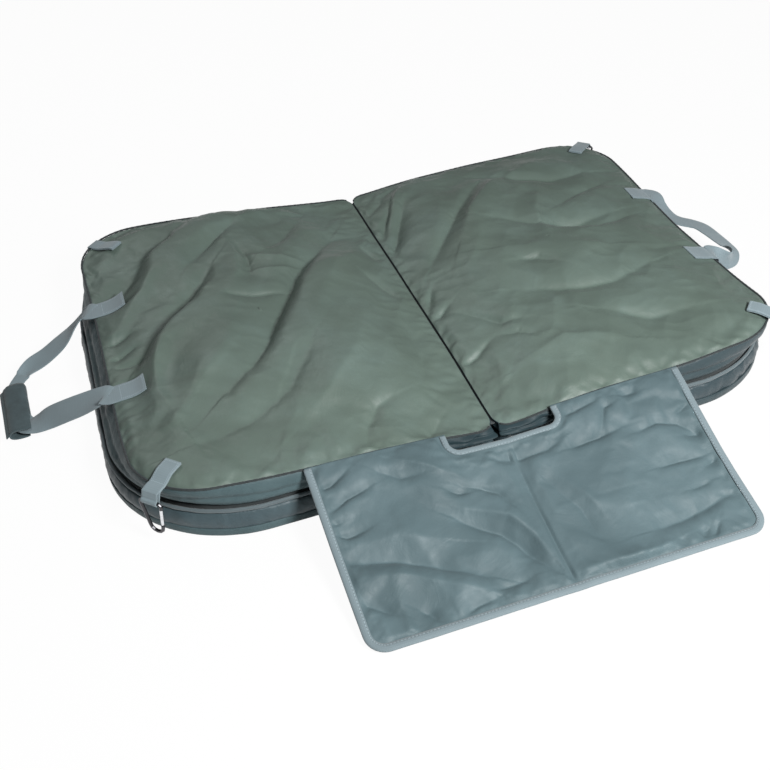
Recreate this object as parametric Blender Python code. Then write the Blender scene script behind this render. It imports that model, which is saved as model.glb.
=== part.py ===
"""Folding unhooking mat: two padded halves on a soft fold, a kneeling flap, handles and clips."""
import math

import bmesh
import bpy
from mathutils import Matrix, Vector

# Plan of the mat
half_length = 0.500
mat_depth = 0.690
top_corner_radius = 0.100
fold_corner_radius = 0.022
fold_gap = 0.0025
tray_side_overhang = 0.032
tray_end_overhang = 0.012
tray_corner_radius = 0.200

# Heights above the ground
tray_height = 0.038
rim_height = 0.007
crevice = 0.0025
seam_height = 0.080
left_crown = 0.028
right_crown = 0.024
fold_axis_rise = 0.008
fold_dip = 0.014
fold_dip_spread = 0.110

# Cloth, foam and trim
clearance = 0.0003
cover_thickness = 0.0014
divider_thickness = 0.0010
base_sheet_thickness = 0.0015
band_height = 0.010
band_thickness = 0.0018
rim_thickness = 0.0050
piping_radius = 0.0020
gusset_draw = 0.0050
tray_bulge = 0.0030
tray_top_draw = 0.0040
foam_margin = 0.0014

# Kneeling flap
flap_width = 0.560
flap_length = 0.275
flap_thickness = 0.0024
flap_sag = 0.008
flap_corner_radius = 0.028
flap_lift = 0.0004
crease_half_width = 0.0025
binding_width = 0.0125
binding_wall = 0.0006
notch_width = 0.158
notch_depth = 0.030
notch_radius = 0.014
notch_binding_width = 0.010
fold_ridge_height = 0.0035
fold_ridge_spread = 0.020

# Webbing
webbing_thickness = 0.0016
handle_webbing = 0.038
tab_webbing = 0.025
handle_sewn_length = 0.050
tab_sewn_length = 0.045
tab_reach = 0.015

# Handles
left_handle_back = 0.142
left_handle_front = -0.086
left_handle_reach = 0.150
left_handle_low = 0.016
right_handle_back = 0.108
right_handle_front = -0.096
right_handle_reach = 0.075
right_handle_low = 0.030
grip_webbing = 0.030
grip_length = 0.112
grip_middle_share = 0.464
grip_wall = 0.0040
grip_flap_thickness = 0.0020
grip_flap_overhang = 0.004

# Metal
ring_wire = 0.0040
ring_depth = 0.017
carabiner_wire = 0.0050
carabiner_length = 0.055
carabiner_waist = 0.009
gate_drop = 0.0095
gate_length = 0.029
gate_wire = 0.0044
wire_play = 0.0004

# Levels that follow from the sizes above
tray_floor = base_sheet_thickness + clearance
foam_floor = tray_floor + cover_thickness + clearance
rim_low = tray_height + clearance
rim_top = rim_low + rim_height
divider_low = rim_top + clearance
divider_top = divider_low + divider_thickness
cover_low = rim_top + crevice
fold_axis_height = seam_height + fold_axis_rise
piping_outset = piping_radius + clearance
piping_height = seam_height - piping_radius / 4
half_centre = (fold_gap + half_length) / 2
tray_length = half_length + tray_side_overhang
tray_depth = mat_depth + 2 * tray_end_overhang

# Mesh steps
corner_steps = 7
fold_corner_steps = 2
side_steps = 6
end_steps = 6
path_steps = 7
crown_shares = (0.05, 0.12, 0.22, 0.36, 0.52, 0.70, 0.88)


def clear_scene():
    for item in list(bpy.data.objects):
        bpy.data.objects.remove(item, do_unlink=True)


def material(name, colour, roughness, metallic=0.0):
    made = bpy.data.materials.new(name)
    made.use_nodes = True
    shader = made.node_tree.nodes["Principled BSDF"]
    shader.inputs["Base Color"].default_value = (*colour, 1.0)
    shader.inputs["Roughness"].default_value = roughness
    shader.inputs["Metallic"].default_value = metallic
    return made


def joint_empty(name, place, parent=None):
    """An empty on a joint's axis, which carries the pieces that turn about it."""
    empty = bpy.data.objects.new(name, None)
    bpy.context.scene.collection.objects.link(empty)
    empty.location = Vector(place) - (parent["at"] if parent else Vector())
    if parent:
        empty.parent = parent["empty"]
    return {"empty": empty, "at": Vector(place)}


def seat(data, name, finish, carrier, smooth_angle=40.0):
    """Link a mesh built in world places, with its origin moved onto its carrier's axis."""
    data.transform(Matrix.Translation(-carrier["at"]))
    data.shade_smooth()
    data.set_sharp_from_angle(angle=math.radians(smooth_angle))
    data.materials.append(finish)
    piece = bpy.data.objects.new(name, data)
    bpy.context.scene.collection.objects.link(piece)
    piece.parent = carrier["empty"]
    return piece


def seat_bmesh(bm, name, finish, carrier, smooth_angle=40.0):
    data = bpy.data.meshes.new(name)
    bm.to_mesh(data)
    bm.free()
    return seat(data, name, finish, carrier, smooth_angle)


def thicken(piece, thickness, offset):
    wall = piece.modifiers.new("wall", "SOLIDIFY")
    wall.thickness = thickness
    wall.offset = offset
    wall.use_even_offset = True
    return piece


def arc(centre, radius, start, sweep, steps):
    """Points on a plan arc, angles in quarter turns."""
    made = []
    for i in range(steps + 1):
        angle = (start + sweep * i / steps) * math.pi / 2
        made.append((centre[0] + radius * math.cos(angle), centre[1] + radius * math.sin(angle)))
    return made


def between(a, b, steps):
    """Points strictly between two plan points."""
    return [(a[0] + (b[0] - a[0]) * i / steps, a[1] + (b[1] - a[1]) * i / steps) for i in range(1, steps)]


def half_corners(length, depth, corner, inset):
    """The four rounded corners of one half's plan, in order round it from the front of the fold."""
    near = fold_gap + max(inset, 0)
    far = length - inset
    edge = depth / 2 - inset
    round_far = corner - inset
    round_near = max(fold_corner_radius - inset, fold_corner_radius / 4)
    front_fold = arc((near + round_near, round_near - edge), round_near, 2, 1, fold_corner_steps)
    front_far = arc((far - round_far, round_far - edge), round_far, 3, 1, corner_steps)
    back_far = arc((far - round_far, edge - round_far), round_far, 0, 1, corner_steps)
    back_fold = arc((near + round_near, edge - round_near), round_near, 1, 1, fold_corner_steps)
    return front_fold, front_far, back_far, back_fold


def half_outline(length, depth, corner, inset=0.0):
    """Plan of the right half as a closed run of points, with the same count at every inset."""
    front_fold, front_far, back_far, back_fold = half_corners(length, depth, corner, inset)
    points = front_fold + between(front_fold[-1], front_far[0], end_steps)
    points += front_far + between(front_far[-1], back_far[0], side_steps)
    points += back_far + between(back_far[-1], back_fold[0], end_steps)
    points += back_fold + between(back_fold[-1], front_fold[0], side_steps)
    return points


def seam_run(length, depth, corner, inset):
    """The three sewn sides of the right half's plan, from the fold's front round to its back."""
    front_fold, front_far, back_far, back_fold = half_corners(length, depth, corner, inset)
    points = [front_fold[-1]] + between(front_fold[-1], front_far[0], end_steps)
    points += front_far + between(front_far[-1], back_far[0], side_steps)
    points += back_far + between(back_far[-1], back_fold[0], end_steps) + [back_fold[0]]
    return points


def top_plan(inset):
    return half_outline(half_length, mat_depth, top_corner_radius, inset)


def tray_plan(inset):
    return half_outline(tray_length, tray_depth, tray_corner_radius, inset)


def seam_dip(x):
    """How far the stitched fold pulls the seam down at a distance from it."""
    return fold_dip * math.exp(-((x / fold_dip_spread) ** 2))


def bow(inward_share):
    """How much of a bowed rise is reached at a share of the way in from an edge."""
    return 1 - (1 - min(inward_share, 1.0)) ** 3


def crown_rise(x, y, inward_share):
    """Share of the crown's rise at a spot of the right half, flatter towards the corners."""
    across = 1 - abs(x - half_centre) / (half_length - half_centre)
    along = 1 - abs(y) / (mat_depth / 2)
    both = max(bow(across) * bow(along), 0.0)
    return (bow(inward_share) * both * both) ** (1 / 3)


def level(plan, height, side):
    """A plan's points at one height, mirrored to its side."""
    return [Vector((side * x, y, height)) for x, y in plan]


def crown_ring(plan, seam, rise, inward_share, side):
    """A plan drawn in towards the half's middle, at the crown's height above the dipping seam."""
    ring = []
    for x, y in plan:
        spot_x = half_centre + (x - half_centre) * (1 - inward_share)
        spot_y = y * (1 - inward_share)
        height = seam - seam_dip(spot_x) + rise * crown_rise(spot_x, spot_y, inward_share)
        ring.append(Vector((side * spot_x, spot_y, height)))
    return ring


def add_row(bm, points):
    return [bm.verts.new(point) for point in points]


def join_rows(bm, first, second, closed):
    """A band of faces between two rows of corners that match one to one."""
    count = len(first)
    for i in range(count if closed else count - 1):
        j = (i + 1) % count
        bm.faces.new((first[i], first[j], second[j], second[i]))


def skin(rings, first_face=True, last_face=True, ring_closed=False):
    """Join a stack of closed rings, and close its ends with a face each, or one end on the other."""
    bm = bmesh.new()
    rows = [add_row(bm, ring) for ring in rings]
    for low, high in zip(rows, rows[1:]):
        join_rows(bm, low, high, True)
    if ring_closed:
        join_rows(bm, rows[-1], rows[0], True)
    if first_face and not ring_closed:
        bm.faces.new(rows[0])
    if last_face and not ring_closed:
        bm.faces.new(rows[-1])
    bmesh.ops.recalc_face_normals(bm, faces=bm.faces)
    return bm


def strip(left, right):
    """An open strip of faces between two runs of points."""
    bm = bmesh.new()
    join_rows(bm, add_row(bm, left), add_row(bm, right), False)
    return bm


def face_outward(bm, up):
    """Turn an open shell's faces so that its flat end looks up, or down."""
    flat = max(bm.faces, key=lambda face: face.calc_center_median().z * (1 if up else -1))
    if (flat.normal.z > 0) != up:
        bmesh.ops.reverse_faces(bm, faces=bm.faces)
    return bm


def crown_rings(inset, low, rise, drop, side):
    """Drawn-in side wall and crown of an upper pad, lowered by drop and narrowed by inset."""
    seam = seam_height - drop
    waist = (low + seam) / 2
    rings = [
        level(top_plan(inset), low, side),
        crown_ring(top_plan(inset + gusset_draw), waist, 0, 0, side),
        crown_ring(top_plan(inset), seam, 0, 0, side),
    ]
    for share in crown_shares:
        rings.append(crown_ring(top_plan(inset), seam, rise, share, side))
    return rings


def inside_seam(x, y):
    """Whether a spot lies inside the far end of the right half's seam."""
    past_x = x - (half_length - top_corner_radius)
    past_y = abs(y) - (mat_depth / 2 - top_corner_radius)
    return math.hypot(max(past_x, 0), max(past_y, 0)) <= top_corner_radius


def crown_height(x, y, rise):
    """Height of the upper cover at a spot of the right half."""
    low, high = 0.0, 1.0
    while high - low > clearance:
        share = (low + high) / 2
        if inside_seam(half_centre + (x - half_centre) / (1 - share), y / (1 - share)):
            low = share
        else:
            high = share
    return seam_height - seam_dip(x) + rise * crown_rise(x, y, low)


def lying_height(spot, across, rise):
    """Height of webbing's middle where its lower face rests on the crown over its whole width."""
    heights = []
    for reach in (-1, 0, 1):
        edge = spot + across * reach
        heights.append(crown_height(abs(edge.x), edge.y, rise))
    return max(heights) + clearance + webbing_thickness / 2


def upper_pad(name, side, rise, finishes, carrier):
    shell = skin(crown_rings(0, cover_low, rise, 0, side), first_face=False)
    thicken(
        seat_bmesh(face_outward(shell, True), name + "_top_cover", finishes["top"], carrier),
        cover_thickness,
        -1,
    )
    core_inset = cover_thickness + foam_margin + 2 * clearance
    core = skin(crown_rings(core_inset, divider_top + clearance, rise, core_inset, side))
    seat_bmesh(core, name + "_upper_foam", finishes["foam"], carrier)
    inner = tray_top_draw + rim_thickness
    plate = skin([
        level(top_plan(inner), divider_low, side),
        level(top_plan(inner), divider_top, side),
    ])
    seat_bmesh(plate, name + "_divider", finishes["lining"], carrier)


def lower_pad(name, side, finishes, carrier):
    tray = skin([
        level(tray_plan(0), tray_floor, side),
        level(tray_plan(0), band_height, side),
        level(tray_plan(-tray_bulge), (band_height + tray_height) / 2, side),
        level(tray_plan(tray_top_draw), tray_height, side),
    ], last_face=False)
    thicken(
        seat_bmesh(face_outward(tray, False), name + "_tray_cover", finishes["gusset"], carrier),
        cover_thickness,
        -1,
    )
    core_inset = tray_top_draw + rim_thickness + foam_margin
    core = skin([
        level(tray_plan(core_inset), foam_floor, side),
        level(tray_plan(core_inset), rim_top, side),
    ])
    seat_bmesh(core, name + "_lower_foam", finishes["foam"], carrier)
    sheet = skin([
        level(tray_plan(clearance), 0, side),
        level(tray_plan(clearance), base_sheet_thickness, side),
    ])
    seat_bmesh(sheet, name + "_base_sheet", finishes["base"], carrier)


def edge_trims(name, side, finishes, carrier):
    """The light rim between the pads, the band round the base and the piping of the top seam."""
    outer = tray_top_draw - rim_thickness / 4
    inner = outer + rim_thickness
    eased = rim_thickness / 4
    rim = skin([
        level(tray_plan(outer), rim_low + eased, side),
        level(tray_plan(outer), rim_top - eased, side),
        level(tray_plan(outer + eased), rim_top, side),
        level(tray_plan(inner), rim_top, side),
        level(tray_plan(inner), rim_low, side),
        level(tray_plan(outer + eased), rim_low, side),
    ], ring_closed=True)
    seat_bmesh(rim, name + "_rim_binding", finishes["binding"], carrier)
    run = seam_run(tray_length, tray_depth, tray_corner_radius, -clearance - band_thickness / 2)
    low = clearance + band_height / 2
    band = upright_strip(run, low - band_height / 2, low + band_height / 2 - clearance, side)
    thicken(seat_bmesh(band, name + "_base_band", finishes["gusset"], carrier), band_thickness, 0)
    run = seam_run(half_length, mat_depth, top_corner_radius, -piping_outset)
    cord = [Vector((side * x, y, piping_height - seam_dip(x))) for x, y in run]
    name += "_top_piping"
    seat(tube(name, cord, piping_radius, 1), name, finishes["piping"], carrier)


def upright_strip(run, low, high, side):
    """A standing strip of cloth along a plan run."""
    foot = [Vector((side * x, y, low)) for x, y in run]
    head = [Vector((side * x, y, high)) for x, y in run]
    return strip(foot, head)


def tube(name, points, radius, sides_level, cyclic=False):
    """The mesh of a round cord or wire along a run of points."""
    curve = bpy.data.curves.new(name + "_run", "CURVE")
    curve.dimensions = "3D"
    curve.bevel_depth = radius
    curve.bevel_resolution = sides_level
    curve.use_fill_caps = not cyclic
    run = curve.splines.new("POLY")
    run.points.add(len(points) - 1)
    run.use_cyclic_u = cyclic
    for spot, point in zip(run.points, points):
        spot.co = (*point, 1.0)
    carrier = bpy.data.objects.new(name + "_run", curve)
    data = bpy.data.meshes.new_from_object(carrier)
    bpy.data.objects.remove(carrier, do_unlink=True)
    bpy.data.curves.remove(curve)
    data.name = name
    data.materials.clear()
    bm = bmesh.new()
    bm.from_mesh(data)
    bmesh.ops.remove_doubles(bm, verts=bm.verts, dist=clearance / 10)
    bmesh.ops.recalc_face_normals(bm, faces=bm.faces)
    bm.to_mesh(data)
    bm.free()
    return data


def smooth_run(points, steps):
    """A smooth curve through points, by the Catmull-Rom rule, with steps stretches between two."""
    ends = [2 * points[0] - points[1]] + points + [2 * points[-1] - points[-2]]
    made = []
    for a, b, c, d in zip(ends, ends[1:], ends[2:], ends[3:]):
        for i in range(steps):
            t = i / steps
            made.append((
                2 * b + (c - a) * t + (2 * a - 5 * b + 4 * c - d) * t ** 2
                + (3 * b - a - 3 * c + d) * t ** 3
            ) / 2)
    return made + [points[-1]]


def ribbon(name, path, across, widths, thickness, finish, carrier):
    """Flat webbing along a path, with its width direction and its width at every point."""
    left, right = [], []
    for i, point in enumerate(path):
        ahead = (path[min(i + 1, len(path) - 1)] - path[max(i - 1, 0)]).normalized()
        side = (across[i] - ahead * across[i].dot(ahead)).normalized() * widths[i] / 2
        left.append(point + side)
        right.append(point - side)
    return thicken(seat_bmesh(strip(left, right), name, finish, carrier), thickness, 0)


# Handle places that follow from the sizes above
sewn_end_x = half_length + piping_outset + piping_radius + clearance
sewn_end_height = piping_height + piping_radius + clearance + webbing_thickness / 2
handle_axis_height = sewn_end_height + webbing_thickness + clearance


def sewn_end(name, side, middle, rise, finish, carrier):
    """The end of a handle's webbing that lies on the crown and is sewn down there."""
    half_across = Vector((0, handle_webbing / 2, 0))
    path = []
    for i in range(side_steps):
        spot = Vector((side * (half_length - handle_sewn_length * (1 - i / side_steps)), middle, 0))
        spot.z = lying_height(spot, half_across, rise)
        path.append(spot)
    last = Vector((side * (half_length - piping_outset), middle, 0))
    last.z = max(lying_height(last, half_across, rise), sewn_end_height)
    path += [last, Vector((side * sewn_end_x, middle, sewn_end_height))]
    across = [Vector((0, 1, 0))] * len(path)
    ribbon(name, path, across, [handle_webbing] * len(path), webbing_thickness, finish, carrier)


# Left handle from its back root round the grip to its front root: shares of the reach, of the
# way from the back root to the front one and of the drop, then the width's direction and share
left_route_shares = (
    (0.00, 0.00, 0.00, (0.0, 1.0, 0.0), 1.00),
    (0.07, 0.00, 0.03, (0.0, 1.0, 0.0), 1.00),
    (0.24, 0.00, 0.21, (0.0, 1.0, 0.0), 1.00),
    (0.48, 0.04, 0.56, (-0.1, 0.9, 0.3), 1.00),
    (0.72, 0.07, 0.87, (-0.4, 0.7, 0.5), 0.94),
    (0.93, 0.11, 0.99, (-0.8, 0.4, 0.2), 0.82),
    (1.00, 0.165, 1.00, (-1.0, 0.0, 0.0), 0.79),
    (1.00, 0.21, 1.00, (-1.0, 0.0, 0.0), 0.79),
    (1.00, 0.46, 1.00, (-1.0, 0.0, 0.0), 0.79),
    (1.00, 0.715, 1.00, (-1.0, 0.0, 0.0), 0.79),
    (1.00, 0.75, 1.00, (-1.0, 0.0, 0.0), 0.79),
    (0.94, 0.84, 0.99, (-0.75, -0.65, 0.0), 0.86),
    (0.77, 0.89, 0.92, (-0.2, -1.0, 0.0), 1.00),
    (0.48, 0.94, 0.57, (0.0, -1.0, 0.0), 1.00),
    (0.24, 1.00, 0.23, (0.0, -1.0, 0.0), 1.00),
    (0.07, 1.00, 0.04, (0.0, -1.0, 0.0), 1.00),
    (0.00, 1.00, 0.00, (0.0, -1.0, 0.0), 1.00),
)

# Right handle in the same way, hanging lower and closer to its half
right_route_shares = (
    (0.00, 0.00, 0.00, (0.0, -1.0, 0.0), 1.00),
    (0.10, 0.00, 0.06, (0.0, -1.0, 0.0), 1.00),
    (0.26, 0.00, 0.24, (0.0, -1.0, 0.0), 1.00),
    (0.42, 0.10, 0.50, (-0.4, -0.9, 0.3), 1.00),
    (0.58, 0.30, 0.80, (-0.8, -0.4, 0.5), 1.00),
    (0.76, 0.56, 0.97, (-0.95, -0.2, 0.35), 1.00),
    (0.94, 0.80, 1.00, (-1.0, -0.1, 0.2), 1.00),
    (1.00, 0.96, 0.96, (-0.9, 0.3, 0.2), 1.00),
    (0.86, 1.09, 0.84, (-0.5, 0.85, 0.15), 1.00),
    (0.56, 1.10, 0.60, (-0.1, 1.0, 0.0), 1.00),
    (0.26, 1.00, 0.26, (0.0, 1.0, 0.0), 1.00),
    (0.10, 1.00, 0.06, (0.0, 1.0, 0.0), 1.00),
    (0.00, 1.00, 0.00, (0.0, 1.0, 0.0), 1.00),
)


def handle_path(shares, side, back, front, reach, low):
    """The route of a handle's webbing, its width direction and its width at each point."""
    spots, across, widths = [], [], []
    for out_share, along_share, drop_share, direction, width_share in shares:
        spots.append(Vector((
            side * (sewn_end_x + reach * out_share),
            back + (front - back) * along_share,
            handle_axis_height + (low - handle_axis_height) * drop_share,
        )))
        across.append(Vector(direction))
        widths.append(Vector((handle_webbing * width_share, 0, 0)))
    steps = 3
    return (
        smooth_run(spots, steps),
        [way.normalized() for way in smooth_run(across, steps)],
        [width.x for width in smooth_run(widths, steps)],
    )


def left_handle(finishes, carrier, flap_carrier):
    path, across, widths = handle_path(
        left_route_shares, -1, left_handle_back, left_handle_front, left_handle_reach, left_handle_low
    )
    ribbon("left_handle_strap", path, across, widths, webbing_thickness, finishes["webbing"], carrier)
    grip_sleeve(finishes, carrier)
    grip_closing_flap(finishes, flap_carrier)


# Grip places that follow from the sizes above
grip_x = -sewn_end_x - left_handle_reach
grip_half_width = grip_webbing / 2 + clearance + grip_wall
grip_half_height = webbing_thickness / 2 + clearance + grip_wall
grip_middle = left_handle_back + (left_handle_front - left_handle_back) * grip_middle_share
grip_flap_height = left_handle_low + grip_half_height + clearance + grip_flap_thickness / 2
grip_flap_x = grip_x + grip_half_width - grip_flap_thickness


def grip_section(half_width, half_height, radius, y):
    """A rounded section across the grip."""
    steps = 2
    ring = []
    corners = ((1, 1, 0), (-1, 1, 1), (-1, -1, 2), (1, -1, 3))
    for toward_x, toward_z, start in corners:
        centre = (
            grip_x + toward_x * (half_width - radius),
            left_handle_low + toward_z * (half_height - radius),
        )
        ring += [Vector((x, y, z)) for x, z in arc(centre, radius, start, 1, steps)]
    return ring


def grip_sleeve(finishes, carrier):
    """The padded sleeve round the webbing, which the hand closes on."""
    front = grip_middle - grip_length / 2
    back = grip_middle + grip_length / 2
    bore = (grip_half_width - grip_wall, grip_half_height - grip_wall)
    round_out = grip_half_height * 0.8
    round_in = bore[1] * 0.5
    sleeve = skin([
        grip_section(grip_half_width, grip_half_height, round_out, front),
        grip_section(grip_half_width, grip_half_height, round_out, back),
        grip_section(*bore, round_in, back),
        grip_section(*bore, round_in, front),
    ], ring_closed=True)
    seat_bmesh(sleeve, "grip_wrap", finishes["grip"], carrier)


def grip_closing_flap(finishes, carrier):
    """The hook-and-loop flap that closes over the sleeve's upper face."""
    front = grip_middle - grip_length / 2
    back = grip_middle + grip_length / 2
    far = grip_x - grip_half_width - grip_flap_overhang
    near_edge = [Vector((grip_flap_x, y, grip_flap_height)) for y in (front, back)]
    far_edge = [Vector((far, y, grip_flap_height)) for y in (front, back)]
    cloth = strip(near_edge, far_edge)
    thicken(seat_bmesh(cloth, "grip_flap", finishes["grip"], carrier), grip_flap_thickness, 0)


# Corner tabs: the seam's corner point, the way out of the mat there and the way along the seam
corner_turn_share = 0.5


def corner_frame(side, end):
    """Seam point in the middle of a corner, with its outward and sideways directions."""
    angle = math.pi / 2 * corner_turn_share
    centre_x = half_length - top_corner_radius
    centre_y = mat_depth / 2 - top_corner_radius
    centre = Vector((side * centre_x, end * centre_y, 0))
    out = Vector((side * math.cos(angle), end * math.sin(angle), 0))
    return centre + out * top_corner_radius, out, Vector((-out.y, out.x, 0))


def tab_eye(wire):
    """Radius of the webbing's middle line round a wire, and the eye's height below the seam."""
    return wire / 2 + wire_play + webbing_thickness / 2


def corner_tab(name, side, end, rise, wire, finish, carrier):
    """A doubled webbing tab, sewn on the corner's crown, whose fold holds a ring outside the seam."""
    seam_point, out, along = corner_frame(side, end)
    eye = tab_eye(wire)
    layer = webbing_thickness + clearance
    piped = piping_height + piping_radius + clearance + webbing_thickness / 2
    eye_height = seam_height - piping_radius / 2
    lower = []
    for i in range(side_steps):
        inward = tab_sewn_length * (1 - i / side_steps)
        height = lying_height(seam_point - out * inward, along * tab_webbing / 2, rise)
        lower.append((-inward, height))
    lower += [(-piping_outset, max(lower[-1][1], piped)), (piping_outset, piped)]
    upper = [(reach, height + layer) for reach, height in lower]
    lower.append((piping_outset + piping_radius + webbing_thickness, piped - webbing_thickness / 2))
    upper.append((tab_reach - eye * 0.9, upper[-1][1] - webbing_thickness / 2))
    run = upper + arc((tab_reach, eye_height), eye, 1.05, -3.0, 9) + lower[::-1]
    path = [seam_point + out * reach + Vector((0, 0, height)) for reach, height in run]
    ribbon(name, path, [along] * len(path), [tab_webbing] * len(path), webbing_thickness, finish, carrier)
    return seam_point + out * tab_reach + Vector((0, 0, eye_height)), out, along


def ring_place(side, end):
    """The axis that a corner's ring swings on."""
    seam_point, out, along = corner_frame(side, end)
    return seam_point + out * tab_reach + Vector((0, 0, seam_height - piping_radius / 2)), along


def d_ring(name, side, end, finish, carrier):
    """A D-shaped ring, its straight bar in the tab's eye and its bow hanging down."""
    place, along = ring_place(side, end)
    half = tab_webbing / 2 + ring_wire
    turn = ring_wire * 0.9
    bar = arc((half - turn, -turn), turn, 1, -1, 2)
    bow = []
    for i in range(1, 8):
        angle = math.pi * i / 8
        bow.append((half * math.cos(angle), -turn - (ring_depth - turn) * math.sin(angle)))
    outline = bar + bow + [(-a, b) for a, b in reversed(bar)]
    points = [place + along * a + Vector((0, 0, b)) for a, b in outline]
    seat(tube(name, points, ring_wire / 2, 1, cyclic=True), name, finish, carrier)


# Carabiner places that follow from the sizes above
carabiner_half = tab_webbing / 2 + clearance + carabiner_wire * 0.75


def carabiner_side(drop):
    """Half width of the carabiner's middle line at a depth below its top bar."""
    return carabiner_half + (carabiner_waist - carabiner_half) * drop / carabiner_length


def carabiner(finishes, carrier, gate_carrier):
    place, along = ring_place(-1, -1)
    turn = carabiner_wire
    hook_drop = gate_drop - clearance
    shoulder = arc((carabiner_half - turn, -turn), turn, 0, 1, 3)
    far_side = [(-a, b) for a, b in reversed(shoulder)]
    foot_drop = carabiner_length - carabiner_waist
    foot = arc((0, -foot_drop), carabiner_side(foot_drop), 2, 2, 6)
    hinge_drop = gate_drop + gate_length + gate_wire / 2 + clearance
    run = [(carabiner_side(hook_drop), -hook_drop)] + shoulder + far_side + foot
    run.append((carabiner_side(hinge_drop), -hinge_drop))
    points = [place + along * a + Vector((0, 0, b)) for a, b in run]
    body = tube("carabiner_body", points, carabiner_wire / 2, 2)
    seat(body, "carabiner_body", finishes["gunmetal"], carrier)
    gate(finishes["gate"], gate_carrier)


def gate_axis():
    """The pivot at the foot of the carabiner's gate, and its head."""
    place, along = ring_place(-1, -1)
    foot_drop = gate_drop + gate_length
    foot = place + along * carabiner_side(foot_drop) - Vector((0, 0, foot_drop))
    head = place + along * carabiner_side(gate_drop) - Vector((0, 0, gate_drop))
    return foot, head


# Where the round foot's corners lie, from its lowest point to its side
gate_foot_angles = (0, math.pi / 6, math.pi / 3, math.pi / 2)


def gate(finish, carrier):
    """A straight gate with a round foot, turned about its own length."""
    foot, head = gate_axis()
    reach = (head - foot).length
    radius = gate_wire / 2
    profile = [(radius * math.sin(a), -radius * math.cos(a)) for a in gate_foot_angles]
    profile += [(radius, reach), (0, reach)]
    bm = bmesh.new()
    corners = add_row(bm, [Vector((x, 0, z)) for x, z in profile])
    edges = [bm.edges.new(pair) for pair in zip(corners, corners[1:])]
    bmesh.ops.spin(
        bm, geom=corners + edges, cent=(0, 0, 0), axis=(0, 0, 1), angle=math.tau, steps=8, use_merge=True
    )
    bmesh.ops.remove_doubles(bm, verts=bm.verts, dist=clearance / 10)
    bmesh.ops.recalc_face_normals(bm, faces=bm.faces)
    turn = Vector((0, 0, 1)).rotation_difference(head - foot).to_matrix().to_4x4()
    bmesh.ops.transform(bm, matrix=Matrix.Translation(foot) @ turn, verts=bm.verts)
    seat_bmesh(bm, "carabiner_gate", finish, carrier)


# Flap places that follow from the sizes above
flap_axis_gap = piping_radius + flap_thickness / 2 + clearance
flap_axis_y = -mat_depth / 2 - piping_outset - flap_axis_gap * 0.2
flap_axis_height = piping_height + flap_axis_gap * 0.98
binding_half = flap_thickness / 2 + clearance + binding_wall
flap_foot_height = binding_half + flap_lift
flap_slope = math.asin((flap_axis_height - flap_foot_height) / flap_length)
flap_down = Vector((0, -math.cos(flap_slope), -math.sin(flap_slope)))
flap_up = Vector((0, -math.sin(flap_slope), math.cos(flap_slope)))
flap_root = Vector((0, flap_axis_y, flap_axis_height))

# Margins along the flap's rim and its notch where the cloth lies calm under the binding
calm_side = flap_width / 2 - binding_width * 1.8
calm_foot = flap_length - binding_width * 1.8
calm_notch_side = notch_width / 2 + notch_binding_width * 1.3
calm_notch_foot = notch_depth + notch_binding_width * 1.3

# Main folds of the flap: where each starts and ends, as shares of the half width and of the
# length, and its height as a share of the ridge height
flap_fold_shares = (
    ((-0.95, 0.30), (-0.40, 0.55), 0.8),
    ((-0.80, 0.95), (-0.35, 0.70), 1.0),
    ((-0.30, 0.20), (0.25, 0.62), 0.9),
    ((0.30, 0.30), (0.62, 0.20), 0.7),
    ((0.42, 0.92), (0.88, 0.70), 1.0),
    ((0.05, 0.95), (0.35, 0.80), 0.6),
)


def flap_fold_rise(x, down):
    """Height of the flap's soft folds, none of it at the edges, the crease and the seam."""
    total = 0.0
    for (x0, d0), (x1, d1), share in flap_fold_shares:
        start = Vector((x0 * flap_width / 2, d0 * flap_length, 0))
        run = Vector((x1 * flap_width / 2, d1 * flap_length, 0)) - start
        spot = Vector((x, down, 0)) - start
        along = max(0.0, min(1.0, spot.dot(run) / run.length_squared))
        off = (spot - run * along).length
        total += share * math.exp(-((off / fold_ridge_spread) ** 2))
    from_rim = min(calm_side - abs(x), calm_foot - down)
    from_notch = max(abs(x) - calm_notch_side, down - calm_notch_foot)
    margin = min(from_rim, from_notch, down, abs(x) - crease_half_width)
    eased = max(0.0, min(1.0, margin / fold_ridge_spread))
    return fold_ridge_height * total * eased * eased * (3 - 2 * eased)


def flap_point(x, down, folded=True):
    """Middle of the flap's cloth at a place across it and a length down from its seam."""
    share = down / flap_length
    sag = 4 * flap_sag * share * (1 - share)
    rise = flap_fold_rise(x, down) if folded else 0
    return flap_root + Vector((x, 0, 0)) + flap_down * down + flap_up * (rise - sag)


def flap_normal(down):
    """Upward normal of the sagging cloth, folds left out."""
    share = down / flap_length
    tilt = math.atan(4 * flap_sag * (1 - 2 * share) / flap_length)
    return (flap_up * math.cos(tilt) + flap_down * math.sin(tilt)).normalized()


def flap_edge(inset):
    """Outer edge of the flap's right half: down its side, round the corner, in to the crease."""
    radius = flap_corner_radius - inset
    side = flap_width / 2 - inset
    foot = flap_length - inset
    turn = arc((side - radius, foot - radius), radius, 0, 1, 4)
    top = piping_outset
    run = [(side, top)] + between((side, top), turn[0], path_steps) + turn
    return run + between(turn[-1], (crease_half_width, foot), path_steps) + [(crease_half_width, foot)]


def notch_edge(inset):
    """Edge of the notch's right half: down from the seam, round its corner, in to the crease."""
    radius = notch_radius + inset
    side = notch_width / 2 + inset
    foot = notch_depth + inset
    centre = (side - radius, foot - radius)
    turn = arc(centre, radius, 0, 1, 3)
    top = piping_outset
    run = [(side, top)] + between((side, top), turn[0], 3) + turn
    return run + between(turn[-1], (crease_half_width, foot), 4) + [(crease_half_width, foot)]


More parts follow.
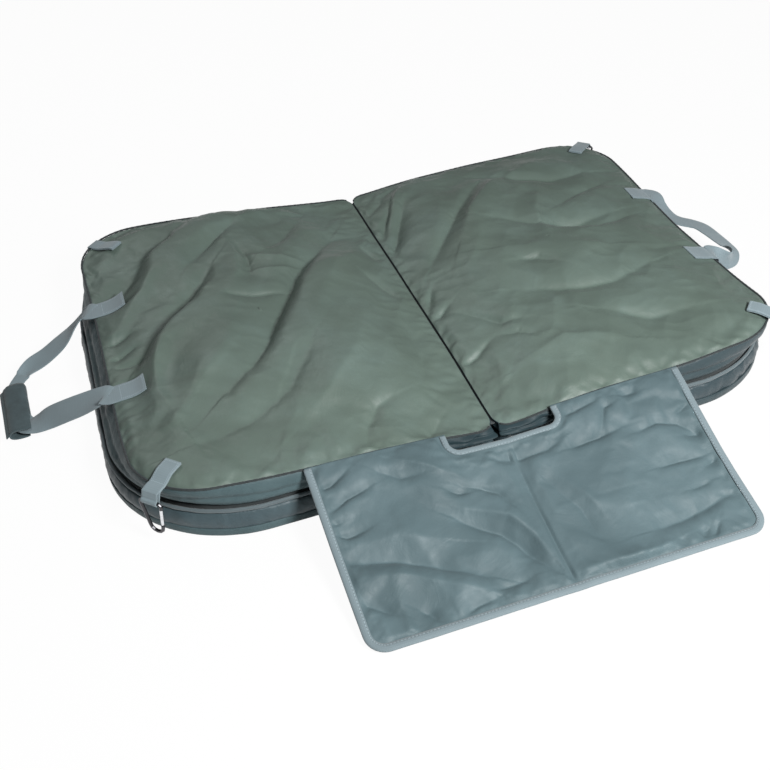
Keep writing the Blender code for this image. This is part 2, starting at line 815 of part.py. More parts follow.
def flap_panel(name, side, finish, carrier):
    """One half of the flap's cloth: a flat cut with its notch, cut into cells and laid in its drape."""
    hem = binding_wall + clearance
    cells_across = 8
    cells_down = 8
    edge = flap_edge(hem)
    notch = notch_edge(hem)
    outline = [(edge[0][0], 0)] + edge[1:] + notch[::-1][:-1] + [(notch[0][0], 0)]
    bm = bmesh.new()
    corners = [bm.verts.new((x, down, 0)) for x, down in outline]
    bm.faces.new(corners)
    for place in [calm_notch_side] + [calm_side * i / cells_across for i in range(1, cells_across + 1)]:
        cut_flat(bm, (place, 0, 0), (1, 0, 0))
    for place in [calm_notch_foot] + [calm_foot * i / cells_down for i in range(1, cells_down + 1)]:
        cut_flat(bm, (0, place, 0), (0, 1, 0))
    bmesh.ops.triangulate(bm, faces=bm.faces)
    for corner in bm.verts:
        x, down = corner.co.x, corner.co.y
        corner.co = flap_point(side * x, down)
    bmesh.ops.recalc_face_normals(bm, faces=bm.faces)
    thicken(seat_bmesh(bm, name, finish, carrier), flap_thickness, 0)


def cut_flat(bm, place, normal):
    geometry = bm.verts[:] + bm.edges[:] + bm.faces[:]
    bmesh.ops.bisect_plane(bm, geom=geometry, dist=clearance / 10, plane_co=place, plane_no=normal)


def flap_binding(name, side, run, inward, width, finish, carrier):
    """Tape folded over an edge of the flap, as a channel that follows the drape."""
    inner = flap_thickness / 2 + clearance
    section = (
        (0, -binding_half), (width, -binding_half), (width, -inner), (binding_wall, -inner),
        (binding_wall, inner), (width, inner), (width, binding_half), (0, binding_half),
    )
    rings = []
    for i, (x, down) in enumerate(run):
        ahead = Vector(run[min(i + 1, len(run) - 1)]) - Vector(run[max(i - 1, 0)])
        across = Vector((-ahead.y, ahead.x)).normalized() * inward
        ring = []
        for reach, height in section:
            spot_x = x + across.x * reach
            spot_down = down + across.y * reach
            point = flap_point(side * spot_x, spot_down, folded=False)
            ring.append(point + flap_normal(spot_down) * height)
        rings.append(ring)
    seat_bmesh(skin(rings), name, finish, carrier)


def flap_crease(finish, carrier):
    """The stitched line that the flap folds on, between its two halves of cloth."""
    half = crease_half_width - clearance
    steps = 8
    start = notch_depth + binding_wall + clearance
    downs = [start + (flap_length - start) * i / steps for i in range(steps + 1)]
    left = [flap_point(-half, down, False) for down in downs]
    right = [flap_point(half, down, False) for down in downs]
    thicken(seat_bmesh(strip(left, right), "flap_crease", finish, carrier), flap_thickness, 0)


def flap(side_name, side, finishes, carrier):
    flap_panel(f"flap_{side_name}_panel", side, finishes["flap"], carrier)
    flap_binding(
        f"flap_{side_name}_binding", side, flap_edge(0), 1, binding_width, finishes["binding"], carrier
    )
    flap_binding(
        f"notch_{side_name}_binding", side, notch_edge(0), -1, notch_binding_width,
        finishes["binding"], carrier,
    )


def fold_web(finish, carrier):
    """The cloth strip that joins the two top seams along the fold."""
    half = fold_gap - clearance
    reach = mat_depth / 2 - fold_corner_radius
    height = seam_height - fold_dip - cover_thickness / 2
    left = [Vector((-half, y, height)) for y in (-reach, reach)]
    right = [Vector((half, y, height)) for y in (-reach, reach)]
    thicken(seat_bmesh(strip(left, right), "fold_web", finish, carrier), cover_thickness, 0)


def make_finishes():
    return {
        "top": material("top_nylon", (0.155, 0.195, 0.180), 0.55),
        "gusset": material("gusset_nylon", (0.070, 0.092, 0.100), 0.60),
        "flap": material("flap_nylon", (0.170, 0.235, 0.255), 0.50),
        "binding": material("binding_tape", (0.215, 0.280, 0.310), 0.75),
        "piping": material("seam_piping", (0.045, 0.058, 0.058), 0.65),
        "webbing": material("webbing", (0.205, 0.265, 0.295), 0.80),
        "foam": material("foam", (0.300, 0.300, 0.280), 0.95),
        "lining": material("lining", (0.060, 0.070, 0.075), 0.80),
        "base": material("base_sheet", (0.045, 0.055, 0.060), 0.70),
        "grip": material("grip_cloth", (0.060, 0.090, 0.095), 0.85),
        "gunmetal": material("gunmetal", (0.050, 0.050, 0.055), 0.35, 0.9),
        "gate": material("gate_steel", (0.750, 0.760, 0.780), 0.25, 1.0),
        "ring": material("ring_black", (0.020, 0.020, 0.022), 0.45),
    }


def build():
    clear_scene()
    finishes = make_finishes()
    left = joint_empty("left_half", (0, 0, 0))
    right = joint_empty("right_half", (0, 0, fold_axis_height), left)
    flap_l = joint_empty("flap_left_half", flap_root, left)
    flap_r = joint_empty("flap_right_half", (0, flap_axis_y, fold_axis_height), flap_l)
    handle_l = joint_empty("left_handle", (-sewn_end_x, 0, handle_axis_height), left)
    handle_r = joint_empty("right_handle", (sewn_end_x, 0, handle_axis_height), right)
    grip = joint_empty("grip_flap_body", (grip_flap_x, grip_middle, grip_flap_height), handle_l)
    clip = joint_empty("carabiner", ring_place(-1, -1)[0], left)
    clip_gate = joint_empty("gate_body", gate_axis()[0], clip)
    front_ring = joint_empty("front_ring_body", ring_place(1, -1)[0], right)
    back_left = joint_empty("back_left_ring_body", ring_place(-1, 1)[0], left)
    back_right = joint_empty("back_right_ring_body", ring_place(1, 1)[0], right)

    for name, side, rise, carrier in (("left", -1, left_crown, left), ("right", 1, right_crown, right)):
        upper_pad(name, side, rise, finishes, carrier)
        lower_pad(name, side, finishes, carrier)
        edge_trims(name, side, finishes, carrier)
    sewn_end("left_handle_back_end", -1, left_handle_back, left_crown, finishes["webbing"], left)
    sewn_end("left_handle_front_end", -1, left_handle_front, left_crown, finishes["webbing"], left)
    sewn_end("right_handle_back_end", 1, right_handle_back, right_crown, finishes["webbing"], right)
    sewn_end("right_handle_front_end", 1, right_handle_front, right_crown, finishes["webbing"], right)
    corner_tab("front_left_tab", -1, -1, left_crown, carabiner_wire, finishes["webbing"], left)
    corner_tab("back_left_tab", -1, 1, left_crown, ring_wire, finishes["webbing"], left)
    corner_tab("front_right_tab", 1, -1, right_crown, ring_wire, finishes["webbing"], right)
    corner_tab("back_right_tab", 1, 1, right_crown, ring_wire, finishes["webbing"], right)
    fold_web(finishes["piping"], left)

    left_handle(finishes, handle_l, grip)
    path, across, widths = handle_path(
        right_route_shares, 1, right_handle_back, right_handle_front, right_handle_reach, right_handle_low
    )
    ribbon("right_handle_strap", path, across, widths, webbing_thickness, finishes["webbing"], handle_r)

    carabiner(finishes, clip, clip_gate)
    d_ring("front_right_ring", 1, -1, finishes["ring"], front_ring)
    d_ring("back_left_ring", -1, 1, finishes["ring"], back_left)
    d_ring("back_right_ring", 1, 1, finishes["ring"], back_right)

    flap("left", -1, finishes, flap_l)
    flap("right", 1, finishes, flap_r)
    flap_crease(finishes["flap"], flap_l)


build()
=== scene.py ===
"""Folding unhooking mat, dressed in its cloth, webbing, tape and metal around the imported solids."""
import math

import bmesh
import bpy
import numpy
from mathutils import Matrix, Vector, noise


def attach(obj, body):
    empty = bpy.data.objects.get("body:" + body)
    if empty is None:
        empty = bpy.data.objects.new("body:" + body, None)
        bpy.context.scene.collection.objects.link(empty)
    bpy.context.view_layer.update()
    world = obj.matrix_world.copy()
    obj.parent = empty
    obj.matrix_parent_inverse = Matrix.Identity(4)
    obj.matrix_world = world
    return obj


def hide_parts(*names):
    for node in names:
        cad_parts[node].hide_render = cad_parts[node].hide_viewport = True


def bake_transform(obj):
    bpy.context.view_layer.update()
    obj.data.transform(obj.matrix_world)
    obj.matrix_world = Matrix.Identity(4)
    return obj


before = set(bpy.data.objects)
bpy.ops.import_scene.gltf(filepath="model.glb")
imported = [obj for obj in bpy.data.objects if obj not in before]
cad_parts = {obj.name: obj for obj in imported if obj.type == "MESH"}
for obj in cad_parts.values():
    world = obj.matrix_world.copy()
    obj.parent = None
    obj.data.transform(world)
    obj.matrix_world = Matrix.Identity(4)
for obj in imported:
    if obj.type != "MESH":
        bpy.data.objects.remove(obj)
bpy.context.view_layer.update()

MM = 1000  # millimetres in a metre; every other size here is in metres
SIDE_NAME = {-1: "left", 1: "right"}

# Sizes of the solids that the cloth is cut to; a plan is a length, a depth and a corner radius
HALF_LENGTH = 0.500
MAT_DEPTH = 0.690
TOP_CORNER = 0.100
TOP_PLAN = (HALF_LENGTH, MAT_DEPTH, TOP_CORNER)
TRAY_PLAN = (0.532, 0.714, 0.200)
FOLD_CORNER = 0.022
FOLD_GAP = 0.0025
HALF_CENTRE = (FOLD_GAP + HALF_LENGTH) / 2
TRAY_FLOOR = 0.0018
BAND_TOP = 0.0100
TRAY_TOP = 0.0380
RIM_LOW = 0.0383
RIM_TOP = 0.0453
COVER_LOW = 0.0478
SEAM_HEIGHT = 0.080
CROWN = {-1: 0.028, 1: 0.024}
FOLD_DIP = 0.014
FOLD_DIP_SPREAD = 0.110
PIPING_RADIUS = 0.0016
PIPING_OUTSET = 0.0023
PIPING_HEIGHT = 0.0795

FLAP_WIDTH = 0.560
FLAP_LENGTH = 0.275
FLAP_SAG = 0.008
FLAP_CORNER = 0.028
FLAP_THICKNESS = 0.0024
FLAP_ROOT = Vector((0, -0.348, 0.08293))
FLAP_FOOT_HEIGHT = 0.0025
NOTCH_WIDTH = 0.158
NOTCH_DEPTH = 0.030
NOTCH_CORNER = 0.014
BINDING_WIDTH = 0.0125
TAPE_WIDTH = 0.0106
NOTCH_TAPE_WIDTH = 0.0088
BINDING_WALL = 0.0007

WEBBING_THICKNESS = 0.0016
HANDLE_WEBBING = 0.038
TAB_WEBBING = 0.025


# --- curves


def quiet_noise(x, y, scale, seed):
    """Smooth noise of a plan spot, from -1 to 1, with features about scale metres wide."""
    return noise.noise(Vector((x / scale + seed * 7.3, y / scale - seed * 3.1, seed * 1.7)))


def eased(value):
    value = max(0.0, min(1.0, value))
    return value * value * (3 - 2 * value)


def eased_all(values):
    values = numpy.clip(values, 0, 1)
    return values * values * (3 - 2 * values)


def hump(value, width):
    """A smooth hill, 1 high at nought."""
    return math.exp(-((value / width) ** 2))


# --- meshes


def new_grid(across, along, size=0.5):
    bm = bmesh.new()
    bmesh.ops.create_grid(bm, x_segments=across, y_segments=along, size=size)
    return bm


def sort_parts(bm):
    """Give corners, edges and faces the same order in each run, which extruding doesn't."""
    def rank(spot):
        return spot.x + 1e3 * spot.y + 1e6 * spot.z

    bm.verts.sort(key=lambda corner: rank(corner.co))
    bm.edges.sort(key=lambda edge: rank((edge.verts[0].co + edge.verts[1].co) / 2))
    bm.faces.sort(key=lambda face: rank(face.calc_center_median()))


def face_up(bm):
    bmesh.ops.recalc_face_normals(bm, faces=bm.faces)
    highest = max(bm.faces, key=lambda face: face.calc_center_median().z)
    if highest.normal.z < 0:
        bmesh.ops.reverse_faces(bm, faces=bm.faces)


def new_object(bm, name, slot_name, *materials, smooth=True):
    data = bpy.data.meshes.new(name)
    bm.to_mesh(data)
    bm.free()
    if smooth:
        data.shade_smooth()
    piece = bpy.data.objects.new(name, data)
    bpy.context.scene.collection.objects.link(piece)
    for material in materials:
        data.materials.append(material)
    return piece


def apply_modifiers(piece):
    """Keep the piece's evaluated shape as its own mesh, with no modifier left."""
    depsgraph = bpy.context.evaluated_depsgraph_get()
    data = bpy.data.meshes.new_from_object(piece.evaluated_get(depsgraph))
    old = piece.data
    piece.modifiers.clear()
    piece.data = data
    bpy.data.meshes.remove(old)


def add_wall(piece, thickness, offset=0, rounding=0.0):
    """Give cut cloth its thickness, and rounded edges where they are asked for."""
    wall = piece.modifiers.new("wall", "SOLIDIFY")
    wall.thickness = thickness
    wall.offset = offset
    if rounding:
        edge = piece.modifiers.new("edge", "BEVEL")
        edge.width = rounding
        edge.segments = 2
        edge.limit_method = "ANGLE"
        edge.angle_limit = math.radians(50)
    apply_modifiers(piece)


def refine(piece):
    finer = piece.modifiers.new("finer", "SUBSURF")
    finer.levels = 1
    finer.render_levels = 1
    apply_modifiers(piece)


def read_points(data):
    points = numpy.empty(len(data.vertices) * 3)
    data.vertices.foreach_get("co", points)
    return points.reshape(-1, 3)


def write_points(data, points):
    data.vertices.foreach_set("co", points.ravel())
    data.update()


def keep_cut(data, cut):
    """Note each corner's place on its flat cut, so that finer meshes still know it."""
    note = data.attributes.new("cut", "FLOAT_VECTOR", "POINT")
    note.data.foreach_set("vector", numpy.array(cut).ravel())


def take_cut(data):
    note = data.attributes["cut"]
    cut = numpy.empty(len(data.vertices) * 3)
    note.data.foreach_get("vector", cut)
    data.attributes.remove(note)
    return cut.reshape(-1, 3)


SETTLE_FRAMES = 16
CLOTH_STIFFNESS = 15.0


def settle_cloth(piece, held, pressure, growth, bending, most_up, most_down):
    """Let cloth that is a little too big for its seams settle, pushed up from inside.

    The held corners stay, and no other moves further than the two limits.
    """
    group = piece.vertex_groups.new(name="sewn")
    for index, weight in enumerate(held):
        group.add([index], weight, "REPLACE")
    cloth = piece.modifiers.new("settle", "CLOTH")
    settings = cloth.settings
    settings.quality = 5
    settings.mass = 0.25
    settings.tension_stiffness = CLOTH_STIFFNESS
    settings.compression_stiffness = CLOTH_STIFFNESS
    settings.shear_stiffness = CLOTH_STIFFNESS * 0.4
    settings.bending_stiffness = bending
    settings.air_damping = 2.0
    settings.tension_damping = 8.0
    settings.compression_damping = 8.0
    settings.use_pressure = True
    settings.uniform_pressure_force = pressure
    settings.shrink_min = -growth
    settings.shrink_max = -growth
    settings.vertex_group_mass = group.name
    settings.effector_weights.gravity = 0.0
    cloth.collision_settings.use_collision = False
    cloth.collision_settings.use_self_collision = False
    cloth.point_cache.frame_start = 1
    cloth.point_cache.frame_end = SETTLE_FRAMES
    for step in range(1, SETTLE_FRAMES + 1):
        bpy.context.scene.frame_set(step)
    settled = piece.evaluated_get(bpy.context.evaluated_depsgraph_get())
    moved = [corner.co.copy() for corner in settled.data.vertices]
    piece.modifiers.clear()
    bpy.context.scene.frame_set(1)
    for corner, end in zip(piece.data.vertices, moved):
        shift = end - corner.co
        most = most_up if shift.z > 0 else most_down
        length = shift.length
        if length > 0:
            shift *= most * math.tanh(length / most) / length
        corner.co += shift
    piece.vertex_groups.clear()


# --- finishes


class Graph:
    """Shader nodes in the making."""

    def __init__(self, tree):
        self.tree = tree

    def link(self, source, target):
        self.tree.links.new(source, target)

    def feed(self, target, value):
        """Give an input a number, a colour or what another node puts out."""
        if isinstance(value, bpy.types.NodeSocket):
            self.link(value, target)
        else:
            target.default_value = (*value, 1.0) if target.type == "RGBA" else value

    def node(self, kind, **values):
        """A new node: small letters name its settings, capitals its inputs."""
        made = self.tree.nodes.new(kind)
        for key, value in values.items():
            if key.islower():
                setattr(made, key, value)
            else:
                self.feed(made.inputs[key.replace("_", " ")], value)
        return made

    def math(self, operation, *values):
        made = self.node("ShaderNodeMath", operation=operation)
        for target, value in zip(made.inputs, values):
            self.feed(target, value)
        return made.outputs[0]


class Weave(Graph):
    """The nodes of one material."""

    def __init__(self, name):
        self.material = bpy.data.materials.new(name)
        self.material.use_nodes = True
        super().__init__(self.material.node_tree)

    def place(self, kind="Object"):
        return self.node("ShaderNodeTexCoord").outputs[kind]

    def noise(self, where, scale, detail, roughness=0.6, distortion=0.0):
        made = self.node(
            "ShaderNodeTexNoise", Vector=where, Scale=scale, Detail=detail,
            Roughness=roughness, Distortion=distortion,
        )
        return made.outputs["Fac"]

    def wave(self, where, scale, direction, distortion=0.0):
        made = self.node(
            "ShaderNodeTexWave", wave_type="BANDS", bands_direction=direction,
            Vector=where, Scale=scale, Distortion=distortion,
        )
        return made.outputs["Fac"]

    def map_parts(self):
        """How far along and how far around a swept piece, from its own map."""
        parts = self.node("ShaderNodeSeparateXYZ", Vector=self.place("UV"))
        return parts.outputs["X"], parts.outputs["Y"]

    def within(self, value, low, high):
        above = self.math("GREATER_THAN", value, low)
        return self.math("MULTIPLY", above, self.math("LESS_THAN", value, high))

    def dashes(self, value, pitch):
        return self.math("LESS_THAN", self.math("FRACT", self.math("DIVIDE", value, pitch)), 0.66)

    def spread(self, value, low, high, least, most):
        made = self.node(
            "ShaderNodeMapRange", Value=value, From_Min=low, From_Max=high,
            To_Min=least, To_Max=most,
        )
        return made.outputs["Result"]

    def blend(self, factor, first, second):
        made = self.node("ShaderNodeMix", data_type="RGBA", Factor=factor)
        self.feed(made.inputs[6], first)
        self.feed(made.inputs[7], second)
        return made.outputs[2]

    def bumps(self, *layers):
        """Bumps over each other, the lowest first: the height, strength and depth of each."""
        normal = None
        for height, strength, depth in layers:
            made = self.node("ShaderNodeBump", Strength=strength, Distance=depth, Height=height)
            if normal is not None:
                self.link(normal, made.inputs["Normal"])
            normal = made.outputs["Normal"]
        return normal

    def finish(self, colour, roughness, normal, **others):
        values = {"Base_Color": colour, "Roughness": roughness, "Normal": normal, **others}
        for key, value in values.items():
            self.feed(self.tree.nodes["Principled BSDF"].inputs[key.replace("_", " ")], value)
        return self.material


def shade(colour, factor):
    return tuple(channel * factor for channel in colour)


def nylon(name, colour, tint, crinkle=1.0, dull=0.42, shine=0.45):
    """Coated woven nylon: fine weave, soft crinkles, faint mottling, painted sheen zones and a dull
    shine.
    """
    weave = Weave(name)
    where = weave.place()
    mottle = weave.noise(where, 9.0, 4.0)
    fine = weave.noise(where, 70.0, 3.0)
    grain = weave.noise(where, 900.0, 2.0)
    # Broad darker zones at random are painted sheen: they stand in for the light and dark zones of
    # the cloth's shine.
    sheen_zones = weave.noise(where, 4.2, 2.0, 0.5, 2.2)
    crinkles = weave.noise(where, 24.0, 5.0, 0.62, 1.4)
    warp, weft = (weave.wave(where, 420.0, direction, 0.4) for direction in "XY")
    threads = weave.math("ADD", warp, weft)
    tone = weave.blend(weave.spread(mottle, 0.3, 0.7, 0.0, 1.0), shade(colour, 0.95), tint)
    for pattern, low, high, most, darker in (
        (fine, 0.35, 0.65, 0.35, 0.84), (sheen_zones, 0.44, 0.58, 0.60, 0.78),
        (threads, 0.0, 2.0, 0.10, 0.6),
    ):
        tone = weave.blend(weave.spread(pattern, low, high, 0.0, most), tone, shade(colour, darker))
    normal = weave.bumps(
        (crinkles, 0.30 * crinkle, 0.004), (fine, 0.10 * crinkle, 0.0012),
        (threads, 0.10, 0.0002), (grain, 0.06, 0.0003),
    )
    rough = weave.spread(fine, 0.3, 0.7, dull, dull + 0.12)
    return weave.finish(
        tone, rough, normal, Sheen_Weight=0.05, Sheen_Roughness=0.4, Specular_IOR_Level=shine,
    )


def row_stitches(weave):
    """Thread and groove of one row of stitches near the inner edge of a folded tape; the groove is
    also painted with shade.
    """
    along, around = weave.map_parts()
    groove = weave.within(around, 0.494, 0.516)
    thread = weave.math("MULTIPLY", weave.within(around, 0.497, 0.513), weave.dashes(along, 0.0048))
    return thread, groove


BOX_START, BOX_END, THREAD = 0.0025, 0.0400, 0.0012


def box_stitches(weave):
    """Thread and groove of the box of stitches round each sewn end of the webbing; the groove is also
    painted with shade.
    """
    along, around = weave.map_parts()
    out = weave.math("ABSOLUTE", weave.math("SUBTRACT", around, 0.5))
    rows = weave.math(
        "MULTIPLY", weave.within(out, 0.385, 0.425), weave.within(along, BOX_START, BOX_END)
    )
    ends = weave.math(
        "ADD", weave.within(along, BOX_START, BOX_START + THREAD),
        weave.within(along, BOX_END - THREAD, BOX_END),
    )
    ends = weave.math("MULTIPLY", ends, weave.within(out, -0.1, 0.425))
    thread = weave.math(
        "ADD", weave.math("MULTIPLY", rows, weave.dashes(along, 0.0030)),
        weave.math("MULTIPLY", ends, weave.dashes(around, 0.10)),
    )
    return weave.math("MINIMUM", thread, 1.0), weave.math("MAXIMUM", rows, ends)


def ribbed(name, colour, pitch=1.6, lanes=11.0, stitches=None):
    """Woven webbing or tape, from its own map: metres along it, and 0 to 1 across it."""
    weave = Weave(name)
    own_map, where = weave.place("UV"), weave.place()
    ribs = weave.wave(own_map, MM / pitch / math.tau, "X")
    cross = weave.math("MULTIPLY", ribs, weave.wave(own_map, lanes, "Y"))
    wear = weave.noise(where, 26.0, 4.0)
    fuzz = weave.noise(where, 1400.0, 2.0)
    tone = weave.blend(cross, shade(colour, 0.92), shade(colour, 1.05))
    tone = weave.blend(weave.spread(wear, 0.35, 0.7, 0.0, 0.45), tone, shade(colour, 0.80))
    layers = [(cross, 0.22, 0.0003), (fuzz, 0.12, 0.0003)]
    if stitches:
        thread, groove = stitches(weave)
        # Painted shade: the stitch grooves are painted darker, besides their bump below.
        tone = weave.blend(weave.math("MULTIPLY", groove, 0.30), tone, shade(colour, 0.45))
        tone = weave.blend(weave.math("MULTIPLY", thread, 0.75), tone, shade(colour, 1.55))
        layers.append((weave.math("SUBTRACT", thread, groove), 0.6, 0.0004))
    return weave.finish(tone, 0.72, weave.bumps(*layers), Sheen_Weight=0.25, Sheen_Roughness=0.5)


def plain_cloth(name, colour, rough=0.8):
    weave = Weave(name)
    where = weave.place()
    mottle = weave.noise(where, 60.0, 4.0)
    grain = weave.noise(where, 1100.0, 2.0)
    mix = weave.spread(mottle, 0.3, 0.7, 0.0, 1.0)
    tone = weave.blend(mix, shade(colour, 0.8), shade(colour, 1.2))
    normal = weave.bumps((mottle, 0.2, 0.001), (grain, 0.3, 0.0004))
    return weave.finish(tone, rough, normal, Sheen_Weight=0.15)


def metal(name, colour, rough, metallic=1.0):
    weave = Weave(name)
    scratch = weave.noise(weave.place(), 260.0, 4.0, 0.7)
    tone = weave.blend(weave.spread(scratch, 0.35, 0.75, 0.0, 1.0), colour, shade(colour, 1.35))
    dull = weave.spread(scratch, 0.3, 0.7, rough, rough + 0.14)
    return weave.finish(tone, dull, weave.bumps((scratch, 0.08, 0.0003)), Metallic=metallic)


TOP_NYLON = nylon("top_nylon", (0.116, 0.158, 0.133), (0.122, 0.168, 0.150), 1.0, 0.44, 0.38)
FLAP_NYLON = nylon("flap_nylon", (0.088, 0.133, 0.146), (0.097, 0.143, 0.157), 0.9, 0.50, 0.28)
# The right half's gusset and tray cloth are darker copies of the left half's: painted shade on that
# side.
GUSSET_NYLON = {
    -1: nylon("gusset_nylon", (0.066, 0.105, 0.114), (0.080, 0.122, 0.131), 1.6, 0.42, 0.18),
    1: nylon("shaded_gusset_nylon", (0.036, 0.058, 0.066), (0.045, 0.069, 0.077), 1.6, 0.36, 0.35),
}
TRAY_NYLON = {
    -1: nylon("tray_nylon", (0.052, 0.081, 0.093), (0.070, 0.100, 0.110), 2.0, 0.36, 0.30),
    1: nylon("shaded_tray_nylon", (0.034, 0.055, 0.064), (0.042, 0.063, 0.072), 2.0, 0.32, 0.40),
}
# Near-black copy of the pads' gusset cloth: painted shade on the walls in the groove and the flap's
# notch.
SHADED_POCKET_NYLON = nylon("shaded_pocket_nylon", (0.016, 0.031, 0.037), (0.026, 0.045, 0.052), 0.7, 0.42, 0.12)
WEBBING = ribbed("webbing", (0.205, 0.268, 0.294), stitches=box_stitches)
TAPE = ribbed("binding_tape", (0.162, 0.212, 0.232), 1.2, 7.0, row_stitches)
RIM_TAPE = ribbed("rim_tape", (0.092, 0.122, 0.133), 1.2, 7.0)
# Near-black seam piping: painted shadow of the seam line round the top, on the piping cord.
SEAM_SHADOW_PIPING = plain_cloth("seam_piping", (0.017, 0.024, 0.026))
# Dark lining: the own colour of the inner foam and base sheets, and painted shade where it covers the
# cloth at the bottom of the groove.
LINING_AND_GROOVE_SHADE = plain_cloth("lining", (0.030, 0.038, 0.040))
GRIP = plain_cloth("grip_cloth", (0.047, 0.074, 0.082), 0.85)
GUNMETAL = metal("gunmetal", (0.075, 0.075, 0.080), 0.30)
BRIGHT = metal("gate_steel", (0.72, 0.73, 0.75), 0.20)
BLACK = metal("ring_black", (0.022, 0.022, 0.025), 0.38, 0.3)


# --- plans of the two pads


def edge_spot(across, along, plan, inset):
    """Where a unit square's edge point lands on a half's outline: fold side -1, far end 1."""
    length, depth, corner = plan
    near = 0.0010 + max(inset, 0)
    far = length - inset
    edge = depth / 2 - inset
    x = near + (far - near) * (across + 1) / 2
    y = edge * along
    end = 1 if across > 0 else -1
    radius = corner - inset if across > 0 else max(FOLD_CORNER - inset, FOLD_CORNER / 4)
    middle_x = far - radius if across > 0 else near + radius
    past_x = (x - middle_x) * end
    past_y = abs(y) - (edge - radius)
    if past_x > 0 and past_y > 0:
        reach = radius / math.hypot(past_x, past_y)
        x = middle_x + past_x * reach * end
        y = math.copysign(edge - radius + past_y * reach, y)
    return x, y


def outwardness(across, along):
    """How near to a unit square's edge a spot is, from 0 to 1."""
    return max(abs(across), abs(along), 1e-9)


def plan_spot(across, along, plan=TOP_PLAN, inset=0.0):
    """The right half's plan spot and its share of the way in, from a unit square's spot."""
    outer = outwardness(across, along)
    x, y = edge_spot(across / outer, along / outer, plan, inset)
    return HALF_CENTRE + (x - HALF_CENTRE) * outer, y * outer, 1 - outer


def seam_dip(x):
    return FOLD_DIP * hump(x, FOLD_DIP_SPREAD)


def bow(share):
    return 1 - (1 - min(share, 1.0)) ** 3


def crown_rise(x, y, share):
    across = 1 - abs(x - HALF_CENTRE) / (HALF_LENGTH - HALF_CENTRE)
    along = 1 - abs(y) / (MAT_DEPTH / 2)
    both = max(bow(max(across, 0)) * bow(max(along, 0)), 0.0)
    return (bow(max(share, 0)) * both * both) ** (1 / 3)


def plumpness(x, y):
    """Share of the overfilled back left corner at a world spot."""
    return eased((-x - 0.05) / 0.38) * eased((y - 0.08) / 0.24)


def drawn_corner(x, y):
    """How far the front corners of the upper pads are drawn in from their cut."""
    share = eased((abs(x) - 0.30) / 0.17) * eased((-y - 0.15) / 0.17)
    return Vector((0.0 if x > 0 else 0.006, 0.006, 0.003)) * share


def seam_lift(x, y):
    """How the seam lies off its cut: a little wavy, high at the back left, low at the notch."""
    front = eased((-y - 0.13) / 0.20)
    low = -0.008 * hump(x, 0.12) * front
    corner = 0.007 * eased((abs(x) - 0.24) / 0.20) * front
    return 0.0013 * quiet_noise(x, y, 0.11, 3) + low + corner + 0.016 * plumpness(x, y)


def plump_shift(x, y):
    """How far the seam stands off its cut's outline, by its full corner and its drawn ones."""
    return Vector((-0.005, 0.011, 0)) * plumpness(x, y) + drawn_corner(x, y)


# Folds, in millimetres: height, half width, then the spots of the run over the mat
LEFT_FOLDS = (
    (-4.5, 26, -310, 310, -360, 260, -400, 230, -430, 180, -470, 150),
    (5, 26, -180, 310, -270, 275, -340, 235, -390, 180, -430, 120, -470, 60),
    (-4, 14, -230, 285, -275, 240, -300, 210, -330, 170),
    (-5.5, 20, -300, 150, -330, 110, -355, 75, -390, 40, -420, 0, -460, -50),
    (5.5, 24, -290, 75, -330, 35, -370, 10, -410, -20, -430, -70, -436, -130, -420, -200),
    (2.8, 9, -258, 220, -253, 165, -262, 110, -287, 75, -330, 85),
    (-2.2, 8, -244, 200, -238, 150, -244, 100),
    (-7, 22, -80, 200, -125, 136, -162, 95, -200, 30, -235, -30, -265, -90, -295, -127, -340, -170),
    (5, 34, -50, 140, -100, 80, -150, 20, -185, -50, -220, -110),
    (3.5, 22, -300, -20, -330, -80, -370, -140),
    (1.6, 6, -240, 159, -195, 136, -153, 120),
    (-2.2, 7, -300, 56, -254, 43, -205, 43),
    (1.4, 6, -247, 110, -202, 100, -161, 100),
    (-3, 20, -120, 270, -160, 210, -200, 170),
    (-3.2, 24, -200, -120, -260, -200, -330, -240, -400, -260),
    (3, 30, -100, -60, -140, -150, -200, -220, -260, -270),
    (-3, 13, -185, -335, -175, -300, -150, -265, -120, -254),
    (-2.6, 10, -105, -340, -88, -325, -64, -300),
    (-2.4, 6, -494, 32, -455, 45),
    (-2.4, 6, -496, -5, -450, 4),
    (-2, 6, -490, -28, -445, -34),
    (-2, 6, -498, -70, -462, -66),
    (-2.4, 8, -63, 60, -50, 36, -28, -15),
    (-2.4, 7, -39, 155, -20, 107),
    (-2.2, 14, -70, -240, -50, -180, -45, -100),
)
RIGHT_FOLDS = (
    (-3.4, 9, 4, 167, 26, 211, 55, 265),
    (-4, 11, 6, 115, 27, 153, 55, 210, 78, 255),
    (3, 12, 30, 200, 60, 260, 90, 310),
    (-4.5, 16, 52, 41, 94, 95, 138, 152, 205, 227),
    (4, 26, 120, 70, 170, 150, 240, 220, 320, 260),
    (-2.4, 6, 6, -60, 30, -15),
    (-2.4, 7, 6, -90, 40, -70),
    (-2.2, 8, 48, -102, 78, -137, 94, -160, 125, -168),
    (-2, 7, 84, -183, 110, -194, 124, -211),
    (-2.6, 9, 183, -36, 214, -44, 234, -65),
    (-2.2, 6, 4, -210, 32, -202, 62, -184),
    (-3.6, 18, 220, 280, 280, 230, 350, 200, 420, 200),
    (-3.4, 16, 200, 100, 260, 60, 330, 40, 400, 50),
    (3.6, 24, 180, 0, 250, -30, 330, -50),
    (-3.4, 17, 140, -100, 220, -130, 300, -140, 380, -120),
    (-3, 18, 240, -200, 310, -240, 380, -250),
    (2.6, 24, 80, -260, 160, -240, 240, -270),
    (-2.8, 13, 430, 30, 360, 20, 300, 50),
    (-2.6, 13, 430, 150, 370, 130, 320, 100),
    (2.8, 14, 300, 150, 270, 90, 260, 10),
)
CREASE_ROUND = 0.16
STEEP_SIDE, GENTLE_SIDE = 0.85, 1.75


